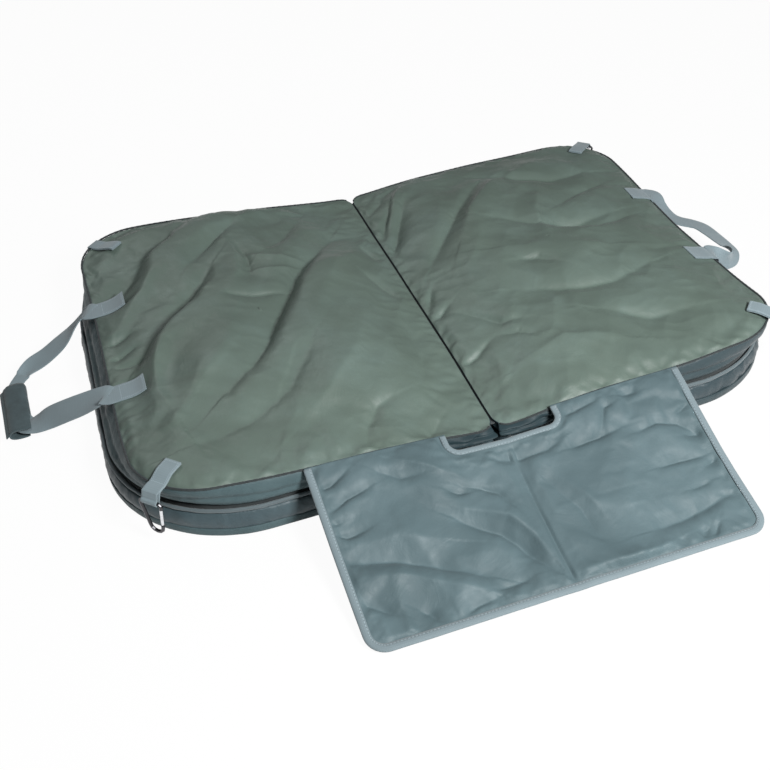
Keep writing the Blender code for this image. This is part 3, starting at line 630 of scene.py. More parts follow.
def fold_field(x, y, folds):
    """Height that a table of folds adds at many spots at once: creased, steeper on one side."""
    total = numpy.zeros(len(x))
    for height, half_width, *numbers in folds:
        run = [(a / MM, b / MM) for a, b in zip(numbers[::2], numbers[1::2])]
        off = numpy.full(len(x), 1e9)
        share = numpy.zeros(len(x))
        steep = numpy.zeros(len(x), dtype=bool)
        for i, ((ax, ay), (bx, by)) in enumerate(zip(run, run[1:])):
            dx, dy = bx - ax, by - ay
            held = numpy.clip(((x - ax) * dx + (y - ay) * dy) / (dx * dx + dy * dy), 0, 1)
            reach = numpy.hypot(x - ax - dx * held, y - ay - dy * held)
            nearer = reach < off
            off = numpy.where(nearer, reach, off)
            steep = numpy.where(nearer, dx * (y - ay) > dy * (x - ax), steep)
            share = numpy.where(nearer, (i + held) / (len(run) - 1), share)
        fade = numpy.sin(math.pi * (0.12 + 0.76 * share))
        spread = half_width / MM * numpy.where(steep, STEEP_SIDE, GENTLE_SIDE)
        bent = numpy.sqrt((off / spread) ** 2 + CREASE_ROUND ** 2) - CREASE_ROUND
        total += height / MM * fade * numpy.exp(-1.25 * bent)
    return total


def crumple(x, y, broad, fine):
    """Soft unevenness of the stuffing and its cloth at many spots at once."""
    made = []
    for a, b in zip(x, y):
        bend = 0.02 * quiet_noise(a, b, 0.09, 50)
        ridge = 1 - 2.4 * abs(quiet_noise(a + bend, b * 0.7 - a * 0.5 + bend, 0.062, 51))
        small = 1 - 2.4 * abs(quiet_noise(a * 0.8 + b * 0.4 + bend, b - bend, 0.030, 52))
        made.append(broad * quiet_noise(a, b, 0.085, 1) + fine * (ridge + 0.35 * small))
    return numpy.array(made)


def seam_puckers(edge_x, edge_y, inward):
    """Short creases that run in from the sewn edges, where the thread draws the cloth in."""
    made = []
    for x, y, depth in zip(edge_x, edge_y, inward):
        fade = hump(depth, 0.018 + 0.014 * quiet_noise(x, y, 0.05, 41)) * eased(depth / 0.006)
        slant = 0.35 * depth
        wave = quiet_noise(x + slant, y + slant, 0.013, 42)
        wave += 0.7 * quiet_noise(x - slant, y + slant, 0.024, 43)
        made.append(0.0034 * wave * fade)
    return numpy.array(made)


# --- upper pads

PAD_ACROSS = 104
PAD_ALONG = 144
PAD_ROWS = 12
PAD_PRESSURE = 0.25
PAD_GROWTH = 0.014
RIM_INSET = 0.0080
EDGE_FLAT = {-1: 0.80, 1: 0.15}
EDGE_FLAT_WIDTH = 0.082
FOLD_STRENGTH = {-1: 3.6, 1: 3.5}
CROWN_LIMIT = 0.1130
CROWN_EASE = 0.0055
SEWN_PRESS = {-1: 0.0105, 1: 0.0}
SEWN_PRESS_X = 0.458


def top_height(x, y, share, side):
    """Height of a top panel: dipping seam and crown, with the overfilled corner."""
    inward = share * HALF_LENGTH / 2
    free = eased(min(inward, 0.2) / 0.030)
    lift = seam_lift(side * x, y) + 0.008 * free * plumpness(side * x, y)
    flat = EDGE_FLAT[side] * hump(inward, EDGE_FLAT_WIDTH)
    return SEAM_HEIGHT - seam_dip(x) + lift + CROWN[side] * crown_rise(x, y, share) * (1 - flat)


def notch_share(x, y):
    """How near a spot of a gusset is to the flap's notch, from 0 to 1."""
    return math.exp(-((x / 0.080) ** 4)) if y < -0.3 else 0.0


def wall_profile(x, y, down):
    """How far the upper gusset stands out at a share of its height down from the seam."""
    swell = math.sin(math.pi * down)
    roll = (0.0060 + 0.0016 * quiet_noise(x, y, 0.10, 4)) * swell ** 0.6
    crease = 0.58 + 0.14 * quiet_noise(x, y, 0.17, 5)
    hollow = 0.5 + 0.5 * quiet_noise(x, y, 0.12, 7)
    roll -= (0.0010 + 0.0050 * hollow) * hump(down - crease, 0.10)
    pucker = 0.0012 * swell * quiet_noise(x * 1.7, y * 1.7 + down * 0.02, 0.021, 6)
    sag = 0.0100 * down ** 2 + 0.0075 * swell * quiet_noise(x, y + down * 0.03, 0.020, 17)
    return roll + pucker + notch_share(x, y) * sag


def pad_spot(corner, side):
    """World place of a pad's corner, given on a unit square with its side wall's row below it."""
    x, y, share = plan_spot(corner.x, corner.y)
    shift = plump_shift(side * x, y)
    if corner.z > -0.5:
        return Vector((side * x, y, top_height(x, y, share, side))) + shift * (1 - share)
    down = -corner.z / PAD_ROWS
    top = SEAM_HEIGHT - seam_dip(x) + seam_lift(side * x, y)
    outer = outwardness(corner.x, corner.y)
    foot_x, foot_y = edge_spot(corner.x / outer, corner.y / outer, TRAY_PLAN, RIM_INSET)
    lean = down ** 1.3
    lean_x = lean if corner.x / outer > -0.98 else 0.0
    spot = Vector((
        side * (x + (foot_x - x) * lean_x),
        y + (foot_y - y) * lean,
        top + (COVER_LOW + 0.0006 - top) * down,
    ))
    if x > FOLD_GAP + 0.004:
        outward = Vector((side * x - side * HALF_CENTRE, y, 0)).normalized()
        spot += outward * wall_profile(side * x, y, down)
    else:
        spot.x += side * 0.002 * math.sin(math.pi * down)
    return spot + shift * (1 - 0.6 * down)


def dress_pad(side):
    """One upper pad: its top panel and gusset in one cloth, closed from below."""
    bm = new_grid(PAD_ACROSS, PAD_ALONG, 1.0)
    for row in range(1, PAD_ROWS + 1):
        edges = [edge for edge in bm.edges if edge.is_boundary]
        made = bmesh.ops.extrude_edge_only(bm, edges=edges)["geom"]
        for corner in (item for item in made if isinstance(item, bmesh.types.BMVert)):
            corner.co.z = -row
    sort_parts(bm)
    for face in bm.faces:
        centre = face.calc_center_median()
        face.material_index = 1 if centre.z < -0.2 else 0
        # Walls by the fold and by the notch get the near-black copy: painted shade of those recesses.
        by_the_fold = centre.x < -0.99 or (centre.y < -0.99 and centre.x < -0.60)
        if face.material_index == 1 and by_the_fold:
            face.material_index = 2
    cut, held = [], []
    for corner in bm.verts:
        _, _, share = plan_spot(corner.co.x, corner.co.y)
        cut.append(tuple(corner.co))
        held.append(1.0 if corner.co.z < -0.5 or share < 0.004 else 0.0)
        corner.co = pad_spot(corner.co, side)
    face_up(bm)
    name = SIDE_NAME[side]
    finishes = (TOP_NYLON, GUSSET_NYLON[side], SHADED_POCKET_NYLON)
    piece = new_object(bm, name + "_pad_cloth", "top_nylon", *finishes)
    settle_cloth(piece, held, PAD_PRESSURE, PAD_GROWTH, 0.4, 0.005, 0.006)
    keep_cut(piece.data, cut)
    refine(piece)
    crease_pad(piece.data, side)
    bm = bmesh.new()
    bm.from_mesh(piece.data)
    rim = [edge for edge in bm.edges if edge.is_boundary]
    for face in bmesh.ops.holes_fill(bm, edges=rim, sides=0)["faces"]:
        face.material_index = 1
        face.smooth = True
    bm.to_mesh(piece.data)
    bm.free()
    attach(piece, name + "_half")
    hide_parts(name + "_top_cover", name + "_upper_foam", name + "_divider")
    return piece


def sewn_press(x, y, side):
    """How far the stitched ends of a handle pull the pad down under them."""
    total = numpy.zeros(len(x))
    for middle in HANDLES[side][1:]:
        total += numpy.exp(-(((abs(x) - SEWN_PRESS_X) / 0.042) ** 2) - ((y - middle) / 0.038) ** 2)
    return SEWN_PRESS[side] * total


def crease_pad(data, side):
    """Lay the seen folds and the crumple of the cloth over a settled pad's top panel."""
    points = read_points(data)
    cut = take_cut(data)
    top = numpy.nonzero(cut[:, 2] > -0.01)[0]
    unit = cut[top, :2]
    spots = numpy.array([plan_spot(across, along) for across, along in unit])
    edges = numpy.array([plan_spot(*(spot / outwardness(*spot)))[:2] for spot in unit])
    x, y = side * spots[:, 0], spots[:, 1]
    from_seam = numpy.hypot(spots[:, 0] - edges[:, 0], spots[:, 1] - edges[:, 1])
    rise = FOLD_STRENGTH[side] * fold_field(x, y, LEFT_FOLDS if side < 0 else RIGHT_FOLDS)
    rise += crumple(x, y, 0.0042, 0.0023)
    rise -= sewn_press(x, y, side)
    rise *= eased_all(from_seam / 0.022)
    rise += seam_puckers(side * edges[:, 0], edges[:, 1], from_seam)
    height = points[top, 2] + rise
    over = numpy.maximum(height - CROWN_LIMIT, 0) / CROWN_EASE
    points[top, 2] = numpy.minimum(height, CROWN_LIMIT) + CROWN_EASE * numpy.tanh(over)
    write_points(data, points)


# --- piping, rims, gussets and bands


def even_steps(corners, count, closed):
    """The same run with count spots at even distances."""
    points = [Vector((x, y, 0)) for x, y in corners]
    if closed:
        points.append(points[0])
    lengths = [0.0]
    for first, second in zip(points, points[1:]):
        lengths.append(lengths[-1] + (second - first).length)
    made = []
    j = 0
    for i in range(count):
        want = lengths[-1] * i / (count if closed else count - 1)
        while j < len(lengths) - 2 and lengths[j + 1] < want:
            j += 1
        gap = lengths[j + 1] - lengths[j]
        share = 0 if gap == 0 else (want - lengths[j]) / gap
        made.append(points[j].lerp(points[j + 1], share).to_2d()[:])
    return made


def outline_run(plan, inset, count, whole=True):
    """Spots round a half's outline by even steps; the sewn sides only where it isn't the whole."""
    steps = [-1 + 2 * i / (count // 4) for i in range(count // 4)]
    unit = [(step, -1.0) for step in steps] + [(1.0, step) for step in steps]
    unit += [(-step, 1.0) for step in steps]
    unit += [(-1.0, -step) for step in steps] if whole else [(-1.0, 1.0)]
    corners = [edge_spot(across, along, plan, inset) for across, along in unit]
    return even_steps(corners, count, whole)


def mirrored(spot, up, side):
    return Vector((side * spot.x, spot.y, up))


def sweep(name, slot_name, material, run, section, side, place=mirrored, closed=True):
    """A band swept along a run: section gives its ring of (out, up) at each spot, for place()."""
    count = len(run)
    steps = count if closed else count - 1
    around = len(section(0))
    bm = new_grid(steps, around)
    layer = bm.loops.layers.uv.new("map")
    lengths = [0.0]
    for (ax, ay), (bx, by) in zip(run, run[1:] + run[:1]):
        lengths.append(lengths[-1] + math.hypot(bx - ax, by - ay))
    marks = {}
    for corner in bm.verts:
        marks[corner] = (round((corner.co.x + 0.5) * steps), round((corner.co.y + 0.5) * around))
    for face in bm.faces:
        for loop in face.loops:
            i, k = marks[loop.vert]
            loop[layer].uv = (lengths[i], k / around)
    for corner, (i, k) in marks.items():
        spot = i % count
        before, after = (spot - 1) % count, (spot + 1) % count
        if not closed:
            before, after = max(spot - 1, 0), min(spot + 1, steps)
        (ax, ay), (bx, by) = run[before], run[after]
        out = Vector((by - ay, ax - bx, 0)).normalized()
        reach, up = section(spot)[k % around]
        corner.co = place(Vector((*run[spot], 0)) + out * reach, up, side)
    bmesh.ops.remove_doubles(bm, verts=bm.verts, dist=1e-6)
    ends = [edge for edge in bm.edges if edge.is_boundary]
    if ends:
        bmesh.ops.holes_fill(bm, edges=ends, sides=0)
    bmesh.ops.recalc_face_normals(bm, faces=bm.faces)
    return new_object(bm, name, slot_name, material)


def sew_round(side, name, node, *sweep_values, **sweep_options):
    """A band swept round one half, which rides there in the place of its node."""
    piece = sweep(SIDE_NAME[side] + name, *sweep_values, side, **sweep_options)
    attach(piece, SIDE_NAME[side] + "_half")
    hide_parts(SIDE_NAME[side] + node)
    return piece


def dress_piping(side):
    run = outline_run(TOP_PLAN, -PIPING_OUTSET + 0.0006, 520, whole=False)

    def place(spot, up, which):
        cord = mirrored(spot, up - seam_dip(spot.x) + seam_lift(which * spot.x, spot.y), which)
        return cord + plump_shift(which * spot.x, spot.y)

    def section(i):
        radius = PIPING_RADIUS * (1 + 0.10 * math.sin(i * 1.9))
        angles = [math.tau * k / 8 for k in range(8)]
        return [(radius * math.cos(a), PIPING_HEIGHT + radius * math.sin(a)) for a in angles]

    # The cord's near-black finish is painted shadow of the seam.
    return sew_round(
        side, "_piping_cord", "_top_piping", "seam_piping", SEAM_SHADOW_PIPING, run, section,
        place=place, closed=False,
    )


def dress_rim(side):
    """The light bound rim between the pads, puckered by its stitches."""
    run = outline_run(TRAY_PLAN, 0.0045, 560)

    def section(i):
        x, y = side * run[i][0], run[i][1]
        pucker = 0.0007 * quiet_noise(x, y, 0.016, 8) + 0.0006 * quiet_noise(x, y, 0.05, 9)
        middle = (RIM_LOW + RIM_TOP) / 2 + 0.0010 * quiet_noise(x, y, 0.07, 10)
        made = []
        for k in range(14):
            angle = math.tau * k / 14
            reach = 0.0024 * math.cos(angle) + (pucker if math.cos(angle) > 0 else 0)
            made.append((reach - 0.012 * notch_share(x, y), middle + 0.0033 * math.sin(angle)))
        return made

    return sew_round(side, "_rim_tape", "_rim_binding", "binding_tape", RIM_TAPE, run, section)


def tray_bulge(height):
    """How far the lower gusset stands out at a height."""
    share = (height - BAND_TOP) / (TRAY_TOP - BAND_TOP)
    return 0.0030 * math.sin(math.pi * max(0.0, min(1.0, share))) - 0.0040 * max(0.0, share) ** 2


TRAY_HEIGHTS = (
    TRAY_FLOOR + 0.0002, 0.0055, 0.0098, 0.0115, 0.0145, 0.0185,
    0.0225, 0.0265, 0.0305, 0.0340, 0.0372,
)


def dress_tray(side):
    """The lower pad: a wrinkled gusset over its foam, closed at the top under the rim."""
    run = outline_run(TRAY_PLAN, 0.0, 600)

    def section(i):
        x, y = side * run[i][0], run[i][1]
        made = []
        for height in TRAY_HEIGHTS:
            free = eased((height - BAND_TOP) / 0.006) * eased((TRAY_TOP - height) / 0.005)
            wrinkle = 0.0022 + 0.0012 * side
            wrinkle *= quiet_noise(x * 1.6, y * 1.6 + height * 0.9, 0.024, 11)
            wrinkle += 0.0016 * quiet_noise(x + height * 1.4, y + height * 1.4, 0.060, 12)
            wrinkle += 0.0008 * quiet_noise(x * 3, y * 3 + height * 2, 0.024, 13)
            made.append((tray_bulge(height) + free * wrinkle - 0.0004, height))
        return made + [(-0.030, TRAY_HEIGHTS[-1]), (-0.030, TRAY_HEIGHTS[0])]

    # On the right half this is the darker copy: painted shade.
    finish = TRAY_NYLON[side]
    return sew_round(side, "_tray_cloth", "_tray_cover", "gusset_nylon", finish, run, section)


def dress_band(side):
    """The sewn band round the foot of the tray, with its fold of cloth on top."""
    run = outline_run(TRAY_PLAN, -0.0010, 560)

    def section(i):
        x, y = side * run[i][0], run[i][1]
        top = 0.0130 + 0.0006 * quiet_noise(x, y, 0.05, 14)
        swell = 0.0005 * quiet_noise(x, y, 0.02, 15)
        return [
            (-0.0010, 0.0006), (0.0006 + swell, 0.0008), (0.0010 + swell, 0.0030),
            (0.0008 + swell, 0.0072), (0.0010 + swell, top - 0.0008),
            (0.0004, top), (-0.0008, top), (-0.0010, 0.0050),
        ]

    # On the right half this is the darker copy: painted shade.
    finish = GUSSET_NYLON[side]
    return sew_round(side, "_band_cloth", "_base_band", "gusset_nylon", finish, run, section)


def dress_slab(side, node, slot_name, inset, low, high):
    """A flat layer of the lower pad, cut to the tray's outline."""
    bm = new_grid(28, 36, 1.0)
    for corner in bm.verts:
        x, y, _ = plan_spot(corner.co.x, corner.co.y, TRAY_PLAN, inset)
        corner.co = Vector((side * x, y, low))
    face_up(bm)
    piece = new_object(bm, node + "_layer", slot_name, LINING_AND_GROOVE_SHADE, smooth=False)
    add_wall(piece, high - low, offset=1)
    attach(piece, SIDE_NAME[side] + "_half")
    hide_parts(node)
    return piece


RIGHT_DRAW = 0.0165


def draw_right_side(piece):
    """Pull the right half's far side in toward its front, as it lies in the picture."""
    points = read_points(piece.data)
    across = numpy.clip(points[:, 0] / HALF_LENGTH, 0, 1)
    points[:, 0] -= RIGHT_DRAW * across * eased_all((0.28 - points[:, 1]) / 0.32)
    write_points(piece.data, points)


def dress_fold_web():
    """The cloth at the bottom of the groove."""
    bm = new_grid(8, 120)
    reach = MAT_DEPTH / 2 - FOLD_CORNER * 0.6
    for corner in bm.verts:
        across, along = corner.co.x * 2, corner.co.y * 2
        pucker = 0.0005 * quiet_noise(along, across, 0.03, 16)
        seam = SEAM_HEIGHT - FOLD_DIP + seam_lift(0, along * reach)
        height = seam - 0.0040 - 0.0012 * (1 - across * across) + pucker
        corner.co = Vector((across * 0.0034, along * reach, height))
    # Its dark lining finish is painted shade of the narrow groove between the pads.
    piece = new_object(bm, "fold_web_cloth", "seam_piping", LINING_AND_GROOVE_SHADE)
    add_wall(piece, 0.0012)
    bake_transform(piece)
    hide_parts("fold_web")


# --- kneeling flap

FLAP_DRAWN = 0.985
FLAP_SLOPE = math.asin((FLAP_ROOT.z - FLAP_FOOT_HEIGHT) / (FLAP_LENGTH * FLAP_DRAWN))
FLAP_DOWN = Vector((0, -math.cos(FLAP_SLOPE), -math.sin(FLAP_SLOPE)))
FLAP_UP = Vector((0, -math.sin(FLAP_SLOPE), math.cos(FLAP_SLOPE)))
FLAP_TRIM = BINDING_WALL + 0.0003
FLAP_FOLD_STRENGTH = 2.7

# Folds, in millimetres: height, half width, then the spots across the flap and down from its seam
FLAP_FOLDS = (
    (-5.2, 13, -272, 147, -235, 154, -206, 162, -174, 176, -140, 197, -100, 220),
    (3.4, 18, -260, 170, -200, 185, -150, 215, -110, 240),
    (3, 22, -250, 125, -190, 130, -140, 150),
    (-5, 11, -107, 131, -85, 148, -61, 166, -46, 187, -35, 210, -18, 238),
    (3.6, 12, -100, 115, -70, 130, -45, 145, -22, 180, -12, 220),
    (-3, 7, -86, 84, -61, 95, -42, 109, -34, 131),
    (-3, 6, -274, 37, -252, 34, -228, 22),
    (-3.4, 6, -262, 72, -239, 59, -206, 52),
    (-2.4, 5, -277, 91, -255, 89),
    (-3, 6, -273, 103, -253, 111, -224, 108),
    (-2.6, 8, -269, 202, -250, 217, -230, 231),
    (-2.4, 7, -200, 236, -190, 244, -184, 256),
    (-2.8, 7, -151, 262, -130, 254, -104, 251),
    (-2.4, 10, -190, 30, -160, 50, -130, 52),
    (2, 8, -160, 20, -120, 45, -100, 60),
    (-2.6, 6, -107, 86, -94, 93, -79, 96),
    (-2.6, 7, -98, 240, -75, 241, -51, 239),
    (-3, 9, -24, 60, 10, 66, 46, 66, 70, 58),
    (1.8, 14, 40, 100, 70, 150, 85, 200),
    (-1.8, 10, 30, 115, 55, 165, 60, 215),
    (-3.4, 7, 81, 74, 114, 70, 150, 69),
    (-3, 7, 179, 81, 211, 76, 240, 85, 260, 105),
    (-2.6, 6, 85, 25, 111, 21, 143, 15),
    (-2.6, 6, 136, 57, 150, 30, 164, 28),
    (-2, 6, 175, 18, 207, 22),
    (-2.8, 6, 184, 141, 216, 140, 249, 143),
    (-2.2, 6, 208, 187, 240, 183),
    (-4, 13, 133, 226, 174, 224, 221, 216, 260, 208),
    (2.8, 9, 6, 250, 50, 252, 73, 254, 125, 254, 151, 250),
    (-2.4, 6, 188, 257, 204, 245),
    (-2.4, 6, 204, 261, 221, 242),
    (-2.4, 5, 275, 60, 245, 70),
    (-2.4, 6, 275, 110, 240, 105),
    (-2.2, 6, 275, 150, 243, 160),
)


def rounded_distance(x, down, half, foot, radius):
    """How far inside a box with rounded lower corners a spot is; its top is open."""
    past_x = abs(x) - (half - radius)
    past_y = down - (foot - radius)
    if past_x > 0 and past_y > 0:
        return radius - math.hypot(past_x, past_y)
    return min(half - abs(x), foot - down)


def flap_margin(x, down):
    """Distance to the flap's nearest bound edge, negative outside its cut."""
    outside = rounded_distance(x, down, FLAP_WIDTH / 2, FLAP_LENGTH, FLAP_CORNER)
    notch = -rounded_distance(x, down, NOTCH_WIDTH / 2, NOTCH_DEPTH, NOTCH_CORNER)
    return min(outside, notch)


def rim_wave(x, down):
    """Small ups and downs that even the bound edges have, none at the crease."""
    share = down / FLAP_LENGTH
    free = eased(share / 0.12) * eased(abs(x) / 0.02)
    wave = 0.0018 * (1 + quiet_noise(x, down, 0.075, 20)) * free * (0.35 + 0.65 * (1 - share))
    return wave + 0.0006 * (1 + quiet_noise(x, down, 0.03, 21)) * free


def flap_point(x, down):
    share = down / FLAP_LENGTH
    sag = 4 * FLAP_SAG * share * (1 - share)
    spot = FLAP_ROOT + Vector((x * (1 - 0.012 * share), 0, 0)) + FLAP_DOWN * down * FLAP_DRAWN
    spot.z -= 0.012 * hump(x, 0.16) * (1 - share) ** 2
    return spot + FLAP_UP * (rim_wave(x, down) - sag)


def flap_normal(down):
    share = down / FLAP_LENGTH
    tilt = math.atan(4 * FLAP_SAG * (1 - 2 * share) / FLAP_LENGTH)
    return (FLAP_UP * math.cos(tilt) + FLAP_DOWN * math.sin(tilt)).normalized()


def cut_outline(spot, half, foot, radius):
    """Nearest spot of a box outline with rounded lower corners and an open top."""
    x, down = abs(spot.x), spot.y
    sign = math.copysign(1.0, spot.x)
    past_x = x - (half - radius)
    past_y = down - (foot - radius)
    if past_x > 0 and past_y > 0:
        reach = radius / max(math.hypot(past_x, past_y), 1e-9)
        return Vector((sign * (half - radius + past_x * reach), foot - radius + past_y * reach, 0))
    if half - x < foot - down:
        return Vector((sign * half, down, 0))
    return Vector((spot.x, foot, 0))


def flap_blend(piece):
    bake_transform(piece)


def dress_flap():
    """The flap's one sheet of nylon, cut with its notch, puckered in its binding."""
    bm = new_grid(150, 76)
    for corner in bm.verts:
        corner.co = Vector((corner.co.x * FLAP_WIDTH, (corner.co.y + 0.5) * FLAP_LENGTH, 0))
    centres = {face: face.calc_center_median() for face in bm.faces}
    lost = [face for face, centre in centres.items() if flap_margin(centre.x, centre.y) < FLAP_TRIM]
    bmesh.ops.delete(bm, geom=lost, context="FACES")
    notch = (NOTCH_WIDTH / 2 + FLAP_TRIM, NOTCH_DEPTH + FLAP_TRIM, NOTCH_CORNER)
    outside = (FLAP_WIDTH / 2 - FLAP_TRIM, FLAP_LENGTH - FLAP_TRIM, FLAP_CORNER)
    for corner in [item for item in bm.verts if item.is_boundary]:
        x, down, _ = corner.co
        if down < 1e-6:
            continue
        by_notch = abs(rounded_distance(x, down, *notch)) < 0.008 and down < NOTCH_DEPTH + 0.008
        corner.co = cut_outline(corner.co, *(notch if by_notch else outside))
    cut, held = [], []
    for corner in bm.verts:
        x, down, _ = corner.co
        cut.append((x, down, 0.0))
        held.append(1.0 if flap_margin(x, down) < BINDING_WIDTH * 0.85 or down < 0.003 else 0.0)
        corner.co = flap_point(x, down)
    face_up(bm)
    piece = new_object(bm, "flap_cloth", "flap_nylon", FLAP_NYLON)
    settle_cloth(piece, held, 0.06, 0.010, 0.2, 0.004, 0.004)
    keep_cut(piece.data, cut)
    refine(piece)
    crease_flap(piece.data)
    add_wall(piece, FLAP_THICKNESS * 0.7)
    flap_blend(piece)
    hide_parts("flap_left_panel", "flap_right_panel", "flap_crease")


def crease_flap(data):
    """Lay the seen folds over the settled flap, and keep it off the ground."""
    points = read_points(data)
    x, down, _ = take_cut(data).T
    margin = numpy.array([flap_margin(a, b) for a, b in zip(x, down)])
    free = numpy.ones(len(x))
    for share in ((margin - BINDING_WIDTH * 0.8) / 0.009, down / 0.012, abs(x) / 0.006):
        free *= eased_all(share)
    rise = FLAP_FOLD_STRENGTH * fold_field(x, down, FLAP_FOLDS)
    rise += crumple(x, down, 0.0009, 0.0009) + 0.0010
    sideways = FLAP_WIDTH / 2 - abs(x) < FLAP_LENGTH - down
    edge_x = numpy.where(sideways, numpy.sign(x) * FLAP_WIDTH / 2, x)
    edge_y = numpy.where(sideways, down, FLAP_LENGTH)
    puckers = 0.8 * seam_puckers(edge_x, edge_y, numpy.maximum(margin - BINDING_WIDTH, 0))
    puckers += 0.5 * seam_puckers(x, numpy.zeros(len(x)), numpy.maximum(down - 0.002, 0))
    points += numpy.outer(rise * free + numpy.maximum(puckers, -0.0008), FLAP_UP)
    points[:, 2] = numpy.maximum(points[:, 2], 0.0022)
    write_points(data, points)


def bound_run(half, foot, radius, count):
    """The whole bound edge: down one side, along the foot and up the other side."""
    corners = [(-half, 0.0024), (-half, foot - radius)]
    for i in range(1, 13):
        angle = math.pi / 2 * i / 12
        x = -half + radius - radius * math.cos(angle)
        corners.append((x, foot - radius + radius * math.sin(angle)))
    corners += [(-x, down) for x, down in reversed(corners)]
    return even_steps(corners, count, False)


def dress_binding(name, nodes, half, foot, radius, width, inward, count):
    """Tape folded over a bound edge of the flap, with a little stitch pucker."""
    run = bound_run(half, foot, radius, count)
    inner = FLAP_THICKNESS / 2 + 0.0002
    outer = inner + BINDING_WALL
    rounded = outer * 0.7
    middle = width * 0.5

    def section(i):
        x, down = run[i]
        pucker = 0.00025 * quiet_noise(x, down, 0.010, 24)
        edge = width * (1 + 0.03 * quiet_noise(x, down, 0.03, 25))
        ring = (
            (edge, -outer), (middle, -outer), (rounded, -outer), (0.0, -outer * 0.5),
            (-0.0002, 0.0), (0.0, outer * 0.5), (rounded, outer), (middle, outer + pucker),
            (edge, outer - 0.0002), (edge, inner), (middle, inner), (BINDING_WALL, inner),
            (BINDING_WALL, -inner), (middle, -inner), (edge, -inner),
        )
        return [(-reach * inward, up) for reach, up in ring]

    def place(spot, up, _):
        return flap_point(spot.x, spot.y) + flap_normal(spot.y) * up

    piece = sweep(name, "binding_tape", TAPE, run, section, 1, place, closed=False)
    flap_blend(piece)
    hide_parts(*nodes)


# --- webbing


def smooth_run(points, steps):
    """A smooth curve through points, with so many steps from each to the next."""
    ends = [2 * points[0] - points[1]] + points + [2 * points[-1] - points[-2]]
    made = []
    for a, b, c, d in zip(ends, ends[1:], ends[2:], ends[3:]):
        for i in range(steps):
            t = i / steps
            square = (2 * a - 5 * b + 4 * c - d) * t ** 2
            made.append((2 * b + (c - a) * t + square + (3 * b - a - 3 * c + d) * t ** 3) / 2)
    return made + [points[-1]]


def webbing(name, path, across, widths):
    """Flat webbing along a path, cupped where it is gathered, with its own map for the weave."""
    steps = len(path) - 1
    bm = new_grid(steps, 8)
    layer = bm.loops.layers.uv.new("map")
    lengths = [0.0]
    for first, second in zip(path, path[1:]):
        lengths.append(lengths[-1] + (second - first).length)
    marks = {}
    for corner in bm.verts:
        marks[corner] = (round((corner.co.x + 0.5) * steps), corner.co.y)
    for face in bm.faces:
        for loop in face.loops:
            i, lane = marks[loop.vert]
            loop[layer].uv = (min(lengths[i], lengths[-1] - lengths[i]), lane + 0.5)
    for corner, (i, lane) in marks.items():
        ahead = (path[min(i + 1, steps)] - path[max(i - 1, 0)]).normalized()
        side = (across[i] - ahead * across[i].dot(ahead)).normalized()
        cup = max(HANDLE_WEBBING * 0.97 - widths[i], 0) if widths[i] > TAB_WEBBING else 0
        lift = ahead.cross(side) * cup * (0.25 - lane * lane * 2)
        corner.co = path[i] + side * widths[i] * lane + lift
    bmesh.ops.recalc_face_normals(bm, faces=bm.faces)
    piece = new_object(bm, name, "webbing", WEBBING)
    add_wall(piece, WEBBING_THICKNESS, rounding=WEBBING_THICKNESS * 0.3)
    return piece


SEWN_END_X = 0.5046
SEWN_END_HEIGHT = 0.0826
SEWN_LENGTH = {-1: 0.0546, 1: 0.0440}
SEWN_STEPS = 12
LOOSE_STEPS = 7

# Loose webbing of each handle from its back root to its front root: the place in millimetres,
# the way across the webbing, and its share of the full width
LEFT_STRAP = (
    (-512, 143, 81.5, 0, 1, -0.1, 1),
    (-522, 145, 74.5, 0, 0.93, -0.34, 0.96),
    (-540, 141.5, 60, 0, 0.96, -0.24, 0.96),
    (-565, 131, 44, -0.2, 1, 0, 1),
    (-592, 122.5, 31, -0.4, 0.9, 0, 1),
    (-617, 115, 23, -0.6, 0.75, 0.1, 0.88),
    (-635, 99, 18.5, -0.9, 0.45, 0, 0.64),
    (-646, 83, 16.8, -1, 0.1, 0, 0.58),
    (-648.8, 67, 16.2, -1, 0, 0, 0.66),
    (-647.4, 36, 16.2, -1, 0, 0, 0.72),
    (-646.2, 6, 16.2, -1, 0, 0, 0.74),
    (-643, -12, 16.4, -0.9, -0.45, 0, 0.82),
    (-636, -27, 18, -0.55, -0.83, 0, 0.94),
    (-620, -36, 23, -0.1, -1, -0.1, 1),
    (-598, -44, 34, 0, -0.93, -0.36, 1),
    (-570, -58, 50, 0, -0.93, -0.36, 1),
    (-545, -71, 64, 0, -0.95, -0.28, 1),
    (-522, -82, 77, 0, -1, -0.1, 1),
    (-512, -85.5, 81.8, 0, -1, 0, 1),
)
RIGHT_STRAP = (
    (513.5, 93.2, 80, -0.8, -0.56, 0.14, 0.96),
    (516.8, 78.5, 72, -0.85, -0.42, 0.31, 0.92),
    (522.6, 66.5, 62, -0.79, -0.56, 0.24, 0.94),
    (530, 53, 55, -0.74, -0.64, 0.22, 0.96),
    (541.3, 40.9, 51, -0.63, -0.75, 0.18, 1),
    (556.8, 29.1, 49, -0.7, -0.68, 0.19, 1),
    (568.1, 12.9, 48.5, -0.91, -0.33, 0.25, 1),
    (573, -16.2, 48, -0.94, -0.11, 0.32, 1),
    (574.8, -46, 48, -0.93, -0.03, 0.37, 1),
    (574.7, -69, 48, -0.87, 0.14, 0.48, 1),
    (568.5, -85.3, 48, -0.44, 0.35, 0.83, 1),
    (554.3, -99.6, 51, 0.11, 0.11, 0.99, 0.94),
    (541.5, -104, 55, 0.37, -0.1, 0.86, 0.86),
    (529.9, -105.5, 61, 0.52, 0.2, 0.8, 0.86),
    (519, -107.5, 69, 0.45, 0.65, 0.55, 0.94),
    (511, -109.5, 78.5, 0.1, 0.95, 0.25, 1),
)
HANDLES = {-1: (LEFT_STRAP, 0.136, -0.092), 1: (RIGHT_STRAP, 0.100, -0.111)}


